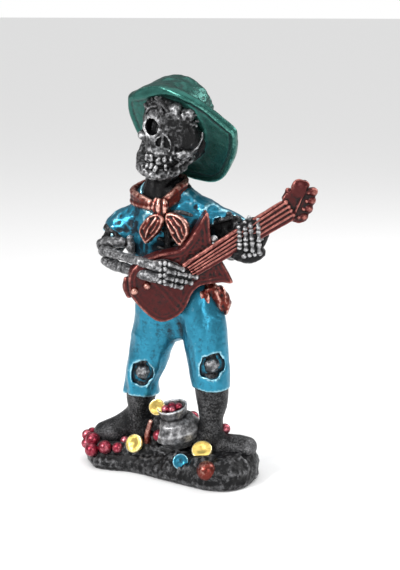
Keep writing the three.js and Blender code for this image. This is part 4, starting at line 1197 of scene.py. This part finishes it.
def jar():
    profile = [(0, 0), (4.6, 0), (4.8, 1.8), (9, 4.4), (12.2, 9.2), (12.4, 13), (9.8, 17.4), (6.6, 19.6), (8.2, 25),
               (7, 25), (5.6, 21.4), (0, 21.8)]
    pts = np.array(profile, float)
    turned = [(r, h) for r, h in profile] + [(-r, h) for r, h in profile[::-1]]

    def dist(points):
        radius = np.sqrt(points[:, 0] ** 2 + points[:, 1] ** 2)
        return outline_distance(radius, points[:, 2], turned)

    body = Form([-12.6, -12.6, 0], [12.6, 12.6, 25.2], dist)
    lean, tip = math.radians(-6), math.radians(14)
    spin_y = np.array([[math.cos(lean), 0, math.sin(lean)], [0, 1, 0], [-math.sin(lean), 0, math.cos(lean)]])
    spin_x = np.array([[1, 0, 0], [0, math.cos(tip), -math.sin(tip)], [0, math.sin(tip), math.cos(tip)]])
    axes = (spin_x @ spin_y).T
    whole = placed(body, (1.2, 8.2, 12), axes)
    whole = cut(whole, [ball((-8, -1.2, 23), (4.4, 4.4, 5))], 0.4)
    return grown(whole, lambda points: 0.2 * noise(points, 3, 71))


BEAD_PLACES = [
    (-52, 2.6, 13.4, 2.9), (-51, 0, 9.6, 2.8), (-45.6, -2.6, 13.2, 3.9), (-43.4, -8, 9.6, 3.6), (-36.5, -6, 11.4, 3.6),
    (-29.8, -4.6, 11.6, 2.9), (-28.4, 1.4, 13.6, 2.7), (-51.6, 7.4, 13.4, 2.7), (-7.6, -0.8, 20.2, 3.1),
    (-5.8, 1.2, 24.8, 2.1), (3.4, 17, 26.6, 3.2), (23.4, 13.4, 24, 2.8), (-4.2, 0.4, 34.4, 2.3), (-0.4, 0.4, 34.6, 2.3),
    (-2.4, 3.8, 35.2, 2.3), (1.4, 3.8, 35.4, 2.3),
]


def heap():
    return grown(join([
        tube([(-47.5, 5, 8, 5.5, 6.5), (-40, -1, 8, 4.5, 5), (-29, -1.4, 9, 4, 4.4), (-18, -1, 10, 3.5, 4.4),
              (-5, -1, 11, 3.5, 4.4), (8, -2, 9.5, 4, 4)], lean=(0, 1, 0)),
        tube([(-10.5, 4, 16, 5), (-9.4, 4.4, 25, 4.4), (-7.6, 4.4, 31.5, 3.4)]),
    ], 1), lambda points: 0.6 * ridged(points, 3.0, 75))


def build_figurine():
    piece("rock", rock(), 0.66, ROCK)
    piece("rubble", heap(), 0.62, ROCK)
    piece("right_boot", right_boot(), 0.5, BLACK)
    piece("left_boot", left_boot(), 0.5, BLACK)
    piece("trousers", trousers(), 0.66, BLUE)
    piece("knees", knees(), 0.5, BONE)
    # The shirt's mark is painted highlight and painted shade.
    piece("shirt", shirt(), 0.62, BLUE, {"rub_and_painted_light": shirt_folds_and_painted_light})
    piece("cuffs", cuffs(), 0.55, DARK)
    piece("ribs", ribs(), 0.7, DARK)
    piece("neckerchief", neckerchief(), 0.42, RED)
    piece("sash", sash(), 0.42, RED)
    piece("skull", skull(), 0.38, BLACK, {"rub_and_painted_light": skull_rub})
    piece("eye_patch", eye_patch(), 0.42, DARK)
    piece("hair", hair(), 0.7, DARK)
    piece("fringe", fringe(), 0.42, DARK)
    piece("hat", hat(), 0.64, GREEN)
    piece("guitar", guitar(), 0.48, WINE)
    piece("strings", strings(), 0.34, WINE)
    piece("knobs", knobs(), 0.3, RED)
    piece("strap_button", placed(ball((22.4, 23.6, -2.4), 1.9), GUITAR, GUITAR_AXES), 0.3, SILVER)
    piece("right_arm", right_arm(), 0.46, BONE)
    piece("hands", hands(), 0.42, DARK)
    piece("left_arm", left_arm(), 0.48, BONE)
    piece("finger_bones", finger_bones(), 0.31, BONE)
    piece("jar", jar(), 0.46, SILVER)
    piece("beads", join([ball(b[:3], b[3]) for b in BEAD_PLACES]), 0.46, BEADS)
    piece("coins", join([
        coin((-20.4, -3.6, 15), (-0.1, -0.95, 0.5), 4.9, 2),
        coin((-8.8, 0, 35.2), (0.2, -0.95, 0.35), 4.3, 1.8),
        coin((17.4, -2, 16.4), (0.15, -0.7, 0.85), 5.3, 2),
    ]), 0.36, GOLD)
    piece("gem", coin((9.0, -9.4, 11.4), (0.35, -0.9, 0.5), 4, 2.4), 0.33, BLUE)
    piece("ball", ball((24.6, -12.0, 9.8), 5), 0.36, RED)
    piece("twig", tube([(-15, 1, 12, 1.8), (-14, -1.4, 20, 1.5), (-12.4, -0.4, 27, 1.2)]), 0.36, RED)


build_figurine()


# Floor and light
AMBIENT = 0.3
SUN = 1.7
LIGHTS = (
    ("key", (-0.30, -0.62, 0.55), 0.28, 5.5),
    ("fill", (0.62, -0.50, 0.30), 0.30, 1.8),
    ("rim", (0.45, 0.50, 0.55), 0.35, 3.0),
)


def studio():
    mesh = bpy.data.meshes.new("floor")
    mesh.from_pydata([(-30, -30, 0), (30, -30, 0), (30, 30, 0), (-30, 30, 0)], [], [(0, 1, 2, 3)])
    floor = bpy.data.objects.new("floor", mesh)
    bpy.context.scene.collection.objects.link(floor)
    pale = bpy.data.materials.new("pale_floor")
    pale.use_nodes = True
    pale.node_tree.nodes["Principled BSDF"].inputs["Base Color"].default_value = (0.9, 0.9, 0.9, 1)
    pale.node_tree.nodes["Principled BSDF"].inputs["Roughness"].default_value = 0.9
    mesh.materials.append(pale)
    world = bpy.data.worlds.new("studio")
    world.use_nodes = True
    tree = world.node_tree
    backdrop = tree.nodes["Background"]
    backdrop.inputs["Color"].default_value = (1, 1, 1, 1)
    path = tree.nodes.new("ShaderNodeLightPath")
    level = tree.nodes.new("ShaderNodeMapRange")
    tree.links.new(path.outputs["Is Camera Ray"], level.inputs["Value"])
    level.inputs["To Min"].default_value = AMBIENT
    level.inputs["To Max"].default_value = 1.0
    tree.links.new(level.outputs["Result"], backdrop.inputs["Strength"])
    bpy.context.scene.world = world
    bpy.context.scene.view_settings.view_transform = "Standard"
    sun = bpy.data.lights.new("sun", "SUN")
    sun.energy = SUN
    sun.angle = math.radians(70)
    bpy.context.scene.collection.objects.link(bpy.data.objects.new("sun", sun))
    for name, place, size, power in LIGHTS:
        light = bpy.data.lights.new(name, "AREA")
        light.size = size
        light.energy = power
        thing = bpy.data.objects.new(name, light)
        thing.location = place
        thing.rotation_euler = (Vector((0, 0, 0.1)) - Vector(place)).to_track_quat("-Z", "Y").to_euler()
        bpy.context.scene.collection.objects.link(thing)


studio()
